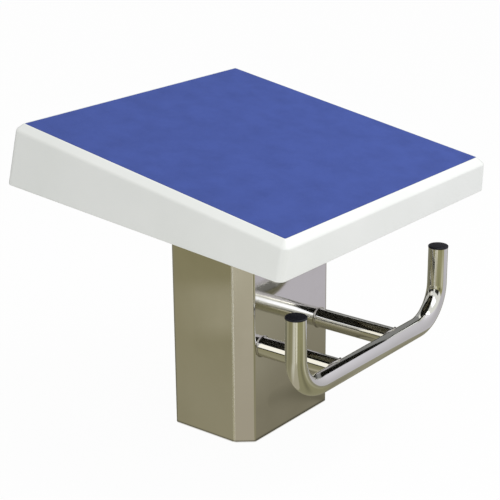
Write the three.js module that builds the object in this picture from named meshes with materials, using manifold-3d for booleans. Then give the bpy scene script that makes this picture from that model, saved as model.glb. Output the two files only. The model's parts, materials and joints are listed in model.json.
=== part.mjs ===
// Swimming starting block: a moulded wedge platform with a non-slip deck on a folded
// stainless column, with a backstroke handle welded to the column's pool side.
//
// Units are millimetres and +Z is up. The floor is Z = 0 and the column's axis is the Z axis.
// -Y is the front, towards the pool. Left is -X and right is +X, as seen from the pool.
import * as THREE from "three";
import { mergeVertices } from "three/addons/utils/BufferGeometryUtils.js";
import Module from "manifold-3d";

const wasm = await Module();
wasm.setup();

// Fits
const seatGap = 0.3;
const overrun = 4;
const mergeTolerance = 0.0001;

// Deck plane, which leans down to the front
const deckWidth = 460;
const deckFrontReach = 231.6;
const deckRearReach = 220.4;
const deckSlope = THREE.MathUtils.degToRad(9.74);
const deckAxisHeight = 418.2;
const deckCornerRadius = 1.5;

// Non-slip deck layer in its recess
const padThickness = 2;
const padRecess = 2;

// Platform moulding: rim bevel, drafted skirt, skin and walls
const rimLand = 1.5;
const rimLandCornerRadius = 3;
const rimSideOut = 11.5;
const rimFrontOut = 12;
const rimRearOut = 9.7;
const rimDrop = 8.4;
const rimRounding = 2;
const wallCornerRadius = 10;
const skirtFrontDepth = 50;
const skirtRearDepth = 90.1;
const skirtSideFlare = 17.1;
const skirtFrontFlare = 14.8;
const skirtRearFlare = 12.5;
const skirtEdgeRounding = 1.5;
const shellWall = 5;
const deckSkin = 5;
const innerKneeDepth = 12;
const ribThickness = 5;
const ribDepth = 26;

// Stiffening board and its threaded inserts
const boardThickness = 15;
const boardCornerRadius = 6;
const insertFlangeRadius = 11;
const insertFlangeThickness = 1.5;
const insertBarrelRadius = 6.2;
const insertBarrelLength = 12;

// Column top flange, its bolts and washers
const flangeWidth = 300;
const flangeLength = 224;
const flangeThickness = 6;
const flangeCornerRadius = 14;
const flangeBoltEdge = 18;
const flangeHoleRadius = 5.5;
const flangeOpeningMargin = 8;
const bayMargin = 5;
const boltRadius = 5;
const boltTipInset = 3;
const boltHeadAcrossFlats = 16;
const boltHeadHeight = 6.4;
const boltHeadChamfer = 1;
const washerRadius = 10;
const washerThickness = 2;
const boltClearance = 0.35;

// Gussets between the column and its top flange
const gussetThickness = 5;
const gussetSideSetback = 8;
const gussetEndSetback = 10;
const gussetHeight = 46;
const gussetNose = 9;

// Column, folded from one sheet, and its foot plate
const columnWidth = 212;
const columnDepth = 135;
const columnChamferX = 19.5;
const columnChamferY = 23.5;
const columnBendRadius = 5;
const columnSheet = 2.5;
const footPlateThickness = 8;
const anchorSpacingX = 140;
const anchorSpacingY = 84;
const anchorHoleRadius = 7;

// Backstroke handle
const tubeRadius = 14.25;
const tubeWall = 2;
const armSpacing = 137;
const armHeight = 143;
const armInsideLength = 12;
const armCopeInset = 4;
const weldLeg = 2.5;
const weldHollowShare = 0.34;
const handleReach = 136;
const riserSpacing = 348;
const riserTopHeight = 255.5;
const bendRadius = 55;

// Folded channel behind the column's front face, where the arms pass through
const channelSheet = 3;
const channelHeight = 84;
const channelRearEdge = 24;

// End plugs
const plugHeadRadius = 14.7;
const plugHeadThickness = 3;
const plugHeadRounding = 1.2;
const plugCrown = 0.6;
const crownMiddleShare = 0.5;
const plugSpigotLength = 16;
const plugSpigotTaper = 1;

// Facets
const cornerSteps = 8;
const deckCornerSteps = 3;
const bendSteps = 4;
const kneeSteps = 4;
const tubeSides = 32;
const boreSides = 24;
const holeSides = 24;
const hexagonSides = 6;
const tubeBendSteps = 12;
const roundingSteps = 4;

// Places worked out from the sizes above
const boardTopDepth = padRecess + deckSkin + seatGap;
const flangeTopDepth = boardTopDepth + boardThickness + seatGap;
const flangeBottomDepth = flangeTopDepth + flangeThickness;
const washerTopDepth = flangeBottomDepth + seatGap;
const boltHeadTopDepth = washerTopDepth + washerThickness + seatGap;
const flangeCentre = -flangeTopDepth * Math.tan(deckSlope);
const bayHalfWidth = flangeWidth / 2 + bayMargin;
const bayHalfLength = flangeLength / 2 + bayMargin;
const gussetSideWidth = (flangeWidth - columnWidth) / 2 - gussetSideSetback;
const gussetEndWidth = (flangeLength - columnDepth) / 2 - gussetEndSetback;
const columnFront = -columnDepth / 2;
const handleAxisY = columnFront - handleReach;
const platformMatrix = new THREE.Matrix4().makeRotationX(deckSlope).setPosition(0, 0, deckAxisHeight);

// Materials
const gelCoat = new THREE.MeshStandardMaterial({ color: 0xe6e8e4, roughness: 0.3, metalness: 0 });
const nonSlip = new THREE.MeshStandardMaterial({ color: 0x4e61a7, roughness: 0.85, metalness: 0 });
const plywood = new THREE.MeshStandardMaterial({ color: 0xb08a5a, roughness: 0.7, metalness: 0 });
const stainless = new THREE.MeshStandardMaterial({ color: 0xbdb9ac, roughness: 0.12, metalness: 1 });
const fastener = new THREE.MeshStandardMaterial({ color: 0xb4b6b8, roughness: 0.35, metalness: 1 });
const zincSteel = new THREE.MeshStandardMaterial({ color: 0x9a9da0, roughness: 0.45, metalness: 1 });
const blackPlastic = new THREE.MeshStandardMaterial({ color: 0x16171c, roughness: 0.5, metalness: 0 });

// Solids and booleans

function solidOf(geometry) {
  const bare = new THREE.BufferGeometry();
  bare.setAttribute("position", geometry.getAttribute("position"));
  bare.setIndex(geometry.getIndex());
  const merged = mergeVertices(bare, mergeTolerance);
  const vertProperties = new Float32Array(merged.getAttribute("position").array);
  const triVerts = new Uint32Array(merged.getIndex().array);
  return new wasm.Manifold(new wasm.Mesh({ numProp: 3, vertProperties, triVerts }));
}

function geometryOf(solid) {
  const mesh = solid.getMesh();
  const geometry = new THREE.BufferGeometry();
  geometry.setAttribute("position", new THREE.BufferAttribute(new Float32Array(mesh.vertProperties), 3));
  geometry.setIndex(new THREE.BufferAttribute(new Uint32Array(mesh.triVerts), 1));
  geometry.computeVertexNormals();
  return geometry;
}

function joined(solids) {
  return solids.reduce((whole, next) => whole.add(next));
}

function cut(solid, tools) {
  return tools.reduce((rest, tool) => rest.subtract(tool), solid);
}

// Outlines

// Moves each side of a convex outline inwards by the same distance.
function insetOutline(points, distance) {
  const count = points.length;
  const sides = points.map((point, i) => {
    const next = points[(i + 1) % count];
    const along = next.clone().sub(point).normalize();
    const inward = new THREE.Vector2(-along.y, along.x);
    return { base: point.clone().addScaledVector(inward, distance), along };
  });
  return sides.map((side, i) => {
    const before = sides[(i + count - 1) % count];
    const offset = side.base.clone().sub(before.base);
    const travel = offset.cross(side.along) / before.along.cross(side.along);
    return before.base.clone().addScaledVector(before.along, travel);
  });
}

// Rounds every corner of a convex outline that runs anticlockwise.
function filletOutline(points, radius, steps) {
  const count = points.length;
  return points.flatMap((corner, i) => {
    const before = points[(i + count - 1) % count].clone().sub(corner).normalize();
    const after = points[(i + 1) % count].clone().sub(corner).normalize();
    const halfAngle = Math.acos(THREE.MathUtils.clamp(before.dot(after), -1, 1)) / 2;
    const middle = before.clone().add(after).normalize();
    const centre = corner.clone().addScaledVector(middle, radius / Math.sin(halfAngle));
    const start = corner.clone().addScaledVector(before, radius / Math.tan(halfAngle)).sub(centre);
    const turn = Math.PI - 2 * halfAngle;
    return Array.from({ length: steps + 1 }, (_, step) =>
      start.clone().rotateAround(new THREE.Vector2(), (turn * step) / steps).add(centre));
  });
}

function rectangle(width, length, centreY) {
  return [[-1, -1], [1, -1], [1, 1], [-1, 1]].map(([sideX, sideY]) =>
    new THREE.Vector2((sideX * width) / 2, centreY + (sideY * length) / 2));
}

function roundedRectangle(width, length, centreY, radius, steps) {
  return filletOutline(rectangle(width, length, centreY), radius, steps);
}

// The column's outline, inset from its outside by a distance, with its folds rounded. Its two
// front corners are chamfered and its two rear ones are square.
function columnOutline(inset) {
  const x = columnWidth / 2;
  const y = columnDepth / 2;
  const points = [
    [-x + columnChamferX, -y], [x - columnChamferX, -y], [x, -y + columnChamferY],
    [x, y], [-x, y], [-x, -y + columnChamferY],
  ].map(([px, py]) => new THREE.Vector2(px, py));
  return filletOutline(insetOutline(points, inset), columnBendRadius - Math.min(inset, columnSheet), bendSteps);
}

// Forms

function extruded(outline, bottom, height) {
  const shape = new THREE.Shape(outline);
  const geometry = new THREE.ExtrudeGeometry(shape, { depth: height, bevelEnabled: false });
  return geometry.translate(0, 0, bottom);
}

function upright(outline, bottom, height) {
  return solidOf(extruded(outline, bottom, height));
}

// Joins sections that hold the same number of points, each running anticlockwise about the
// direction of travel, and closes the first and last.
function loft(sections) {
  const count = sections[0].length;
  const last = (sections.length - 1) * count;
  const positions = sections.flat().flatMap((point) => [point.x, point.y, point.z]);
  const triangles = [];
  for (let level = 0; level + 1 < sections.length; level += 1) {
    for (let i = 0; i < count; i += 1) {
      const a = level * count + i;
      const b = level * count + ((i + 1) % count);
      triangles.push(a, b, b + count, a, b + count, a + count);
    }
  }
  for (let i = 1; i + 1 < count; i += 1) {
    triangles.push(0, i + 1, i, last, last + i, last + i + 1);
  }
  const geometry = new THREE.BufferGeometry();
  geometry.setAttribute("position", new THREE.Float32BufferAttribute(positions, 3));
  geometry.setIndex(triangles);
  return geometry;
}

// A round bar or hole along Z, from bottom to top.
function post(x, y, bottom, top, radius, sides) {
  const geometry = new THREE.CylinderGeometry(radius, radius, top - bottom, sides);
  geometry.rotateX(Math.PI / 2).translate(x, y, (bottom + top) / 2);
  return solidOf(geometry);
}

function block(x0, x1, y0, y1, z0, z1) {
  const geometry = new THREE.BoxGeometry(x1 - x0, y1 - y0, z1 - z0);
  return solidOf(geometry.translate((x0 + x1) / 2, (y0 + y1) / 2, (z0 + z1) / 2));
}

// A profile of [radius, height] pairs, closed on itself, turned about Z.
function turned(profile, sides) {
  const loop = [...profile, profile[0]].map(([radius, height]) => new THREE.Vector2(radius, height));
  return new THREE.LatheGeometry(loop, sides).rotateX(Math.PI / 2);
}

// A profile of [radius, height] pairs that starts and ends on the axis, turned about Z.
function turnedOnAxis(profile, sides) {
  const line = profile.map(([radius, height]) => new THREE.Vector2(radius, height));
  return new THREE.LatheGeometry(line, sides).rotateX(Math.PI / 2);
}

// Scene graph

const startingBlock = new THREE.Group();
const platform = new THREE.Group();
platform.position.z = deckAxisHeight;
platform.rotation.x = deckSlope;
startingBlock.add(platform);

function place(parent, name, geometry, material, x = 0, y = 0, z = 0) {
  const mesh = new THREE.Mesh(geometry, material);
  mesh.name = name;
  mesh.position.set(x, y, z);
  parent.add(mesh);
}

// Platform moulding

// A level of the moulding says how far its outline stands out from the deck's edges and how
// deep it lies below the deck plane, at the front and at the rear.
function level(side, front, rear, depthFront, depthRear, radius) {
  return { side, front, rear, depthFront, depthRear, radius };
}

// The level of the rim's outer edge, or one below it at another depth.
function rimLevel(depth) {
  return level(rimSideOut, rimFrontOut, rimRearOut, depth, depth, wallCornerRadius);
}

function mixLevels(a, b, share) {
  const entries = Object.keys(a).map((key) => [key, THREE.MathUtils.lerp(a[key], b[key], share)]);
  return Object.fromEntries(entries);
}

// A quadratic curve of levels from a to b that is drawn towards the knee between them.
function kneeLevels(a, knee, b, steps) {
  return Array.from({ length: steps + 1 }, (_, step) => {
    const share = step / steps;
    return mixLevels(mixLevels(a, knee, share), mixLevels(knee, b, share), share);
  });
}

function levelSection(at) {
  const frontEdge = -(deckFrontReach + at.front);
  const rearEdge = deckRearReach + at.rear;
  const fall = (at.depthRear - at.depthFront) / (rearEdge - frontEdge);
  const corners = rectangle(deckWidth + 2 * at.side, rearEdge - frontEdge, (rearEdge + frontEdge) / 2);
  return filletOutline(corners, at.radius, cornerSteps).map(
    (point) => new THREE.Vector3(point.x, point.y, -(at.depthFront + fall * (point.y - frontEdge))));
}

function insetLevel(at, wall) {
  return level(at.side - wall, at.front - wall, at.rear - wall, at.depthFront, at.depthRear, at.radius - wall);
}

const deckEdgeLevel = level(rimLand, rimLand, rimLand, 0, 0, rimLandCornerRadius);
const rimEdgeLevel = rimLevel(rimDrop);
const skirtLevel = level(
  skirtSideFlare, skirtFrontFlare, skirtRearFlare, skirtFrontDepth, skirtRearDepth, wallCornerRadius);

function mouldingOutside() {
  const bevelShare = rimRounding / (rimSideOut - rimLand);
  const wallShare = rimRounding / (skirtFrontDepth - rimDrop);
  const edgeShare = skirtEdgeRounding / (skirtFrontDepth - rimDrop);
  const edge = kneeLevels(
    insetLevel(skirtLevel, skirtEdgeRounding / 2), skirtLevel,
    mixLevels(skirtLevel, rimEdgeLevel, edgeShare), roundingSteps);
  const knee = kneeLevels(
    mixLevels(rimEdgeLevel, skirtLevel, wallShare), rimEdgeLevel,
    mixLevels(rimEdgeLevel, deckEdgeLevel, bevelShare), kneeSteps);
  return solidOf(loft([...edge, ...knee, deckEdgeLevel].map(levelSection)));
}

// A body whose walls lie a wall inside the moulding's and whose top lies a skin below its recess.
function mouldingCore(wall, skin) {
  const bottom = insetLevel(skirtLevel, wall);
  const knee = insetLevel(rimLevel(innerKneeDepth), wall);
  const top = { ...insetLevel(rimLevel(padRecess + skin), 2 * shellWall), radius: knee.radius };
  const below = mixLevels(knee, bottom, 1 + overrun / (skirtFrontDepth - innerKneeDepth));
  return solidOf(loft([below, knee, top].map(levelSection)));
}

// Ribs under the skin: four frame the bay that holds the board and the flange, and run on to
// the skirt. Four short ones join the middle of that frame to the skirt. All end inside the skin
// and the walls.
function mouldingRibs() {
  const top = 0;
  const bottom = -(padRecess + deckSkin + ribDepth);
  const endX = deckWidth / 2 + skirtSideFlare;
  const frontY = -(deckFrontReach + skirtFrontFlare);
  const rearY = deckRearReach + skirtRearFlare;
  const half = ribThickness / 2;
  const ribs = [-1, 1].flatMap((side) => {
    const longX = side * (bayHalfWidth + half);
    const crossY = flangeCentre + side * (bayHalfLength + half);
    const stubX = side > 0 ? [bayHalfWidth + half, endX] : [-endX, -(bayHalfWidth + half)];
    const stubY = side > 0 ? [crossY, rearY] : [frontY, crossY];
    return [
      block(longX - half, longX + half, frontY, rearY, bottom, top),
      block(-endX, endX, crossY - half, crossY + half, bottom, top),
      block(...stubX, flangeCentre - half, flangeCentre + half, bottom, top),
      block(-half, half, ...stubY, bottom, top),
    ];
  });
  return joined(ribs).intersect(mouldingCore(shellWall / 2, deckSkin / 2));
}

function platformShell() {
  const deckLength = deckFrontReach + deckRearReach;
  const deckMiddle = (deckRearReach - deckFrontReach) / 2;
  const recessOutline = roundedRectangle(deckWidth, deckLength, deckMiddle, deckCornerRadius, deckCornerSteps);
  const recess = upright(recessOutline, -padRecess, padRecess + overrun);
  const shell = mouldingOutside().subtract(mouldingCore(shellWall, deckSkin));
  return geometryOf(shell.add(mouldingRibs()).subtract(recess));
}

place(platform, "platform_shell", platformShell(), gelCoat);

function deckPad() {
  const width = deckWidth - 2 * seatGap;
  const length = deckFrontReach + deckRearReach - 2 * seatGap;
  const middle = (deckRearReach - deckFrontReach) / 2;
  const radius = deckCornerRadius - seatGap;
  const outline = roundedRectangle(width, length, middle, radius, deckCornerSteps);
  return geometryOf(upright(outline, seatGap - padRecess, padThickness));
}

place(platform, "deck_pad", deckPad(), nonSlip);

// Stiffening board, inserts, flange and bolts

const flangeBoltPlaces = [[-1, -1], [1, -1], [1, 1], [-1, 1]].map(([sideX, sideY]) => ({
  x: sideX * (flangeWidth / 2 - flangeBoltEdge),
  y: flangeCentre + sideY * (flangeLength / 2 - flangeBoltEdge),
}));

function stiffeningBoard() {
  const width = 2 * (bayHalfWidth - seatGap);
  const length = 2 * (bayHalfLength - seatGap);
  const outline = roundedRectangle(width, length, flangeCentre, boardCornerRadius, deckCornerSteps);
  const board = upright(outline, -(boardTopDepth + boardThickness), boardThickness);
  const tools = flangeBoltPlaces.flatMap(({ x, y }) => {
    const bottom = -(boardTopDepth + boardThickness + overrun);
    const seat = -(boardTopDepth + insertFlangeThickness + seatGap);
    const above = overrun - boardTopDepth;
    return [
      post(x, y, bottom, above, insertBarrelRadius + seatGap, holeSides),
      post(x, y, seat, above, insertFlangeRadius + seatGap, holeSides),
    ];
  });
  return geometryOf(cut(board, tools));
}

place(platform, "core_board", stiffeningBoard(), plywood);

// A tee nut: its flange lies in the board's top and its barrel points down.
function threadedInsert() {
  const bore = boltRadius + boltClearance;
  return turned([
    [bore, -(insertFlangeThickness + insertBarrelLength)],
    [insertBarrelRadius, -(insertFlangeThickness + insertBarrelLength)],
    [insertBarrelRadius, -insertFlangeThickness],
    [insertFlangeRadius, -insertFlangeThickness],
    [insertFlangeRadius, 0],
    [bore, 0],
  ], holeSides);
}

function flangeWasher() {
  const bore = boltRadius + boltClearance;
  return turned([[bore, -washerThickness], [washerRadius, -washerThickness], [washerRadius, 0], [bore, 0]], holeSides);
}

// A hexagon bolt whose head's bearing face lies at height 0, with the shank above it.
function flangeBolt() {
  const shankLength = boltHeadTopDepth - boardTopDepth - boltTipInset;
  const cornerRadius = boltHeadAcrossFlats / Math.sqrt(3);
  const bottomRadius = boltHeadAcrossFlats / 2;
  const blank = new THREE.CylinderGeometry(cornerRadius, cornerRadius, boltHeadHeight, hexagonSides);
  const head = solidOf(blank.rotateX(Math.PI / 2).translate(0, 0, -boltHeadHeight / 2));
  const envelope = solidOf(turnedOnAxis([
    [0, -boltHeadHeight],
    [bottomRadius, -boltHeadHeight],
    [cornerRadius, boltHeadChamfer - boltHeadHeight],
    [cornerRadius, overrun],
    [0, overrun],
  ], holeSides));
  const shank = solidOf(turnedOnAxis([
    [0, -boltHeadHeight / 2],
    [boltRadius, -boltHeadHeight / 2],
    [boltRadius, shankLength - boltHeadChamfer],
    [boltRadius - boltHeadChamfer, shankLength],
    [0, shankLength],
  ], holeSides));
  return geometryOf(head.intersect(envelope).add(shank));
}

flangeBoltPlaces.forEach(({ x, y }, i) => {
  const number = i + 1;
  place(platform, `threaded_insert_${number}`, threadedInsert(), zincSteel, x, y, -boardTopDepth);
  place(platform, `flange_washer_${number}`, flangeWasher(), fastener, x, y, -washerTopDepth);
  place(platform, `flange_bolt_${number}`, flangeBolt(), fastener, x, y, -boltHeadTopDepth);
});

// The flange's opening lets a long socket reach the anchor nuts down inside the column.
function topFlange() {
  const outline = roundedRectangle(flangeWidth, flangeLength, flangeCentre, flangeCornerRadius, bendSteps);
  const plate = upright(outline, -flangeBottomDepth, flangeThickness);
  const openingOutline = columnOutline(columnSheet + flangeOpeningMargin)
    .map((point) => new THREE.Vector2(point.x, point.y + flangeCentre));
  const opening = upright(openingOutline, -(flangeBottomDepth + overrun), flangeThickness + 2 * overrun);
  const holes = flangeBoltPlaces.map(({ x, y }) =>
    post(x, y, -(flangeBottomDepth + overrun), overrun - flangeTopDepth, flangeHoleRadius, holeSides));
  return geometryOf(cut(plate, [opening, ...holes]));
}

place(platform, "top_flange", topFlange(), stainless);

// Column

// Everything above the plane that lies one seat gap under the flange.
function aboveFlangeSeat() {
  const width = columnWidth + columnDepth;
  const geometry = new THREE.BoxGeometry(width * 2, width * 2, deckAxisHeight);
  geometry.translate(0, 0, deckAxisHeight / 2 - (flangeBottomDepth + seatGap));
  return solidOf(geometry.applyMatrix4(platformMatrix));
}

function armHole(x) {
  const geometry = new THREE.CylinderGeometry(tubeRadius + seatGap, tubeRadius + seatGap, handleReach, tubeSides);
  return solidOf(geometry.translate(x, columnFront, armHeight));
}

const armPlaces = [{ name: "left", x: -armSpacing / 2 }, { name: "right", x: armSpacing / 2 }];

function columnShell() {
  const outside = upright(columnOutline(0), 0, deckAxisHeight);
  const inside = upright(columnOutline(columnSheet), -overrun, deckAxisHeight + 2 * overrun);
  return geometryOf(cut(outside, [inside, aboveFlangeSeat(), ...armPlaces.map(({ x }) => armHole(x))]));
}

place(startingBlock, "column_shell", columnShell(), stainless);

function footPlate() {
  const plate = upright(columnOutline(columnSheet + seatGap), 0, footPlateThickness);
  const holes = [[-1, -1], [1, -1], [1, 1], [-1, 1]].map(([sideX, sideY]) => {
    const x = (sideX * anchorSpacingX) / 2;
    const y = (sideY * anchorSpacingY) / 2;
    return post(x, y, -overrun, footPlateThickness + overrun, anchorHoleRadius, holeSides);
  });
  return geometryOf(cut(plate, holes));
}

place(startingBlock, "base_plate", footPlate(), stainless);

function handleChannel() {
  const bottom = armHeight - channelHeight / 2;
  const outside = upright(columnOutline(columnSheet + seatGap), bottom, channelHeight);
  const insideOutline = columnOutline(columnSheet + seatGap + channelSheet);
  const inside = upright(insideOutline, bottom - overrun, channelHeight + 2 * overrun);
  const rear = block(-columnWidth, columnWidth, -channelRearEdge, columnDepth, 0, deckAxisHeight);
  return geometryOf(cut(outside, [inside, rear, ...armPlaces.map(({ x }) => armHole(x))]));
}

place(startingBlock, "handle_channel", handleChannel(), stainless);

// A gusset stands on a column face that lies at Y = faceY, points along +X before it is turned,
// and stops under the flange.
function gusset(faceDistance, faceY, width, turn) {
  const top = deckAxisHeight;
  const seat = deckAxisHeight - flangeBottomDepth / Math.cos(deckSlope) + faceY * Math.tan(deckSlope);
  const bottom = seat - gussetHeight;
  const inner = faceDistance + seatGap;
  const outer = faceDistance + width;
  const nose = seat - gussetNose;
  const outline = [
    [inner, bottom], [inner + gussetNose, bottom], [outer, nose], [outer, top], [inner, top],
  ].map(([x, y]) => new THREE.Vector2(x, y));
  const geometry = extruded(outline, -gussetThickness / 2, gussetThickness);
  geometry.rotateX(Math.PI / 2).rotateZ(turn);
  return geometryOf(cut(solidOf(geometry), [aboveFlangeSeat()]));
}

place(startingBlock, "gusset_right", gusset(columnWidth / 2, 0, gussetSideWidth, 0), stainless);
place(startingBlock, "gusset_rear", gusset(columnDepth / 2, columnDepth / 2, gussetEndWidth, Math.PI / 2), stainless);
place(startingBlock, "gusset_left", gusset(columnWidth / 2, 0, gussetSideWidth, Math.PI), stainless);
place(startingBlock, "gusset_front", gusset(columnDepth / 2, columnFront, gussetEndWidth, -Math.PI / 2), stainless);

// Backstroke handle

// An arm along Z before it is turned: height 0 is the column's front face and the weld fillet
// stands on it. The far end is coped to the crossbar.
function handleArm() {
  const bore = tubeRadius - tubeWall;
  const tube = solidOf(turned([
    [bore, -armInsideLength],
    [tubeRadius, -armInsideLength],
    [tubeRadius, seatGap],
    [tubeRadius + weldLeg, seatGap],
    [tubeRadius + weldLeg * weldHollowShare, seatGap + weldLeg * weldHollowShare],
    [tubeRadius, seatGap + weldLeg],
    [tubeRadius, handleReach - armCopeInset],
    [bore, handleReach - armCopeInset],
  ], tubeSides));
  const reach = 2 * (tubeRadius + overrun);
  const bar = new THREE.CylinderGeometry(tubeRadius + seatGap, tubeRadius + seatGap, reach, tubeSides);
  bar.rotateZ(Math.PI / 2).translate(0, 0, handleReach);
  return geometryOf(tube.subtract(solidOf(bar))).rotateX(Math.PI / 2);
}

armPlaces.forEach(({ name, x }) => {
  place(startingBlock, `handle_arm_${name}`, handleArm(), stainless, x, columnFront, armHeight);
});

// The crossbar's centre line from the left riser's top, down and along, to the right riser's top.
function crossbarStations(riserTop) {
  const bendCentreX = riserSpacing / 2 - bendRadius;
  const arc = (side, from) => Array.from({ length: tubeBendSteps + 1 }, (_, step) => {
    const angle = from + ((Math.PI / 2) * step) / tubeBendSteps;
    const point = new THREE.Vector3(
      side * bendCentreX + bendRadius * Math.cos(angle), 0, bendRadius + bendRadius * Math.sin(angle));
    return { point, along: new THREE.Vector3(-Math.sin(angle), 0, Math.cos(angle)) };
  });
  const end = (side) => ({
    point: new THREE.Vector3((side * riserSpacing) / 2, 0, riserTop),
    along: new THREE.Vector3(0, 0, side),
  });
  return [end(-1), ...arc(-1, Math.PI), ...arc(1, (Math.PI * 3) / 2), end(1)];
}

function tubeAlong(stations, radius, sides) {
  const across = new THREE.Vector3(0, 1, 0);
  return solidOf(loft(stations.map(({ point, along }) => {
    const other = along.clone().cross(across);
    return Array.from({ length: sides }, (_, side) => {
      const angle = (2 * Math.PI * side) / sides;
      return point.clone()
        .addScaledVector(across, radius * Math.cos(angle))
        .addScaledVector(other, radius * Math.sin(angle));
    });
  })));
}

const riserTop = riserTopHeight - plugHeadThickness - seatGap - armHeight;

function crossbar() {
  const outside = tubeAlong(crossbarStations(riserTop), tubeRadius, tubeSides);
  const bore = tubeAlong(crossbarStations(riserTop + overrun), tubeRadius - tubeWall, boreSides);
  return geometryOf(outside.subtract(bore));
}

place(startingBlock, "handle_crossbar", crossbar(), stainless, 0, handleAxisY, armHeight);

// A plug whose head's underside lies at height 0, with its spigot below and a slight crown.
function endPlug() {
  const spigot = (tubeRadius - tubeWall) * Math.cos(Math.PI / boreSides) - seatGap;
  const shoulder = plugHeadThickness - plugHeadRounding - plugCrown;
  const rounding = Array.from({ length: roundingSteps + 1 }, (_, step) => {
    const angle = ((Math.PI / 2) * step) / roundingSteps;
    const inset = plugHeadRounding * (1 - Math.cos(angle));
    return [plugHeadRadius - inset, shoulder + plugHeadRounding * Math.sin(angle)];
  });
  return turnedOnAxis([
    [0, -plugSpigotLength],
    [spigot - plugSpigotTaper, -plugSpigotLength],
    [spigot, -plugSpigotLength / 2],
    [spigot, 0],
    [plugHeadRadius, 0],
    ...rounding,
    [plugHeadRadius * crownMiddleShare, plugHeadThickness - plugCrown * crownMiddleShare ** 2],
    [0, plugHeadThickness],
  ], tubeSides);
}

[{ name: "left", side: -1 }, { name: "right", side: 1 }].forEach(({ name, side }) => {
  const z = armHeight + riserTop + seatGap;
  place(startingBlock, `end_plug_${name}`, endPlug(), blackPlastic, (side * riserSpacing) / 2, handleAxisY, z);
});

export default startingBlock;
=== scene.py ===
"""Looks of a swimming starting block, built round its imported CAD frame.

The block has a moulded white platform with a blue non-slip deck, a mirror-polished stainless
column and a backstroke handle of bent stainless tube. Sizes are in metres, in the frame's own
axes: +Z is up and -Y is the front, towards the pool.
"""

from __future__ import annotations

import json
import logging
import math
from dataclasses import dataclass, field, fields, replace
from enum import Enum
from typing import Iterable, Sequence

import bmesh
import bpy
from mathutils import Matrix, Vector, noise

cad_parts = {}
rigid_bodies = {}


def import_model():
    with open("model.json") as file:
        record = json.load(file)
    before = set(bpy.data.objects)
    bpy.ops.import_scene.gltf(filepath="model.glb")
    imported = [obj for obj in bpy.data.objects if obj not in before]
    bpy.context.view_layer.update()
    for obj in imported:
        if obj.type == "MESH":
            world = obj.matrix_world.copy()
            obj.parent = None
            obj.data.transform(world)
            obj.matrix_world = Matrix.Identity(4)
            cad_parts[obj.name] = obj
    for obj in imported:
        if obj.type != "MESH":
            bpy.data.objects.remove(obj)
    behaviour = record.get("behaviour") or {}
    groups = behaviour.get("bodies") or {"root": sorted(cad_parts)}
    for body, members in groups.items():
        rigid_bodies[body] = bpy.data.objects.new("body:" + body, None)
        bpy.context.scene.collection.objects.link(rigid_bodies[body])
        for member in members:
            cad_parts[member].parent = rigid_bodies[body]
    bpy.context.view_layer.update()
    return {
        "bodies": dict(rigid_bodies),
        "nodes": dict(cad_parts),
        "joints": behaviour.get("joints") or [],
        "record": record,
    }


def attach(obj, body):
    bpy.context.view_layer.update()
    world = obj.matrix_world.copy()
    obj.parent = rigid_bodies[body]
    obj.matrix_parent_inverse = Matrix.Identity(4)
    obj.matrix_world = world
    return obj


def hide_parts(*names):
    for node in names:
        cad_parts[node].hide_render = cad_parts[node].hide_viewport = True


log = logging.getLogger("starting_block")

Ring = list[Vector]
Verts = Sequence[bmesh.types.BMVert]
Colour = tuple[float, float, float]
Axes = tuple[float, float, float]
Place = tuple[float, float]
Socket = bpy.types.NodeSocket

BODY = "root"
SHARP_ANGLE = math.radians(35)
WHITE: Colour = (1.0, 1.0, 1.0)


# Mesh building


class Sketch:
    """Collects the faces of one piece and turns them into a mesh object."""

    def __init__(self) -> None:
        """Starts with no faces."""
        self.mesh = bmesh.new()

    def ring(self, points: Iterable[Vector]) -> list[bmesh.types.BMVert]:
        """Adds a ring of points and returns their vertices, in the same order."""
        return [self.mesh.verts.new(point) for point in points]

    def face(self, corners: Verts, slot: int = 0) -> None:
        """Adds one smooth face.

        Args:
            corners: The face's vertices, in order.
            slot: The index of its material.
        """
        made = self.mesh.faces.new(corners)
        made.material_index = slot
        made.smooth = True

    def bridge(self, first: Verts, second: Verts, slot: int = 0) -> None:
        """Joins two rings of the same count with four-sided faces.

        Args:
            first: One ring.
            second: The other ring.
            slot: The index of the faces' material.
        """
        count = len(first)
        for i in range(count):
            j = (i + 1) % count
            self.face((first[i], first[j], second[j], second[i]), slot)

    def loft(self, rings: Sequence[Ring], looped: bool = False, slots: Sequence[int] = ()) -> None:
        """Joins a row of rings into a closed skin.

        Args:
            rings: Rings with the same number of points.
            looped: Whether the last ring joins the first one. Otherwise a face closes each end.
            slots: The index of each band's material. All bands have the first one if none is given.
        """
        made = [self.ring(points) for points in rings]
        slots = slots or [0] * len(made)
        for first, second, slot in zip(made, made[1:], slots):
            self.bridge(first, second, slot)
        if looped:
            self.bridge(made[-1], made[0], slots[-1])
        else:
            self.face(made[0], slots[0])
            self.face(made[-1], slots[-1])

    def finish(
        self, name: str, materials: Sequence[bpy.types.Material] = (), sharp_angle: float = SHARP_ANGLE,
    ) -> bpy.types.Object:
        """Closes the sketch and links its object to the scene.

        Args:
            name: The piece's name.
            materials: Its materials, in slot order.
            sharp_angle: Edges that turn by more than this stay crisp.

        Returns:
            The new object.
        """
        bmesh.ops.recalc_face_normals(self.mesh, faces=self.mesh.faces)
        data = bpy.data.meshes.new(name)
        for material in materials:
            data.materials.append(material)
        self.mesh.to_mesh(data)
        self.mesh.free()
        data.set_sharp_from_angle(angle=sharp_angle)
        piece = bpy.data.objects.new(name, data)
        bpy.context.scene.collection.objects.link(piece)
        return piece


def weigh_normals(piece: bpy.types.Object) -> None:
    """Shades large flat faces as flat where they meet small rounded ones."""
    weighted = piece.modifiers.new("flat faces stay flat", "WEIGHTED_NORMAL")
    weighted.keep_sharp = True


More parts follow.
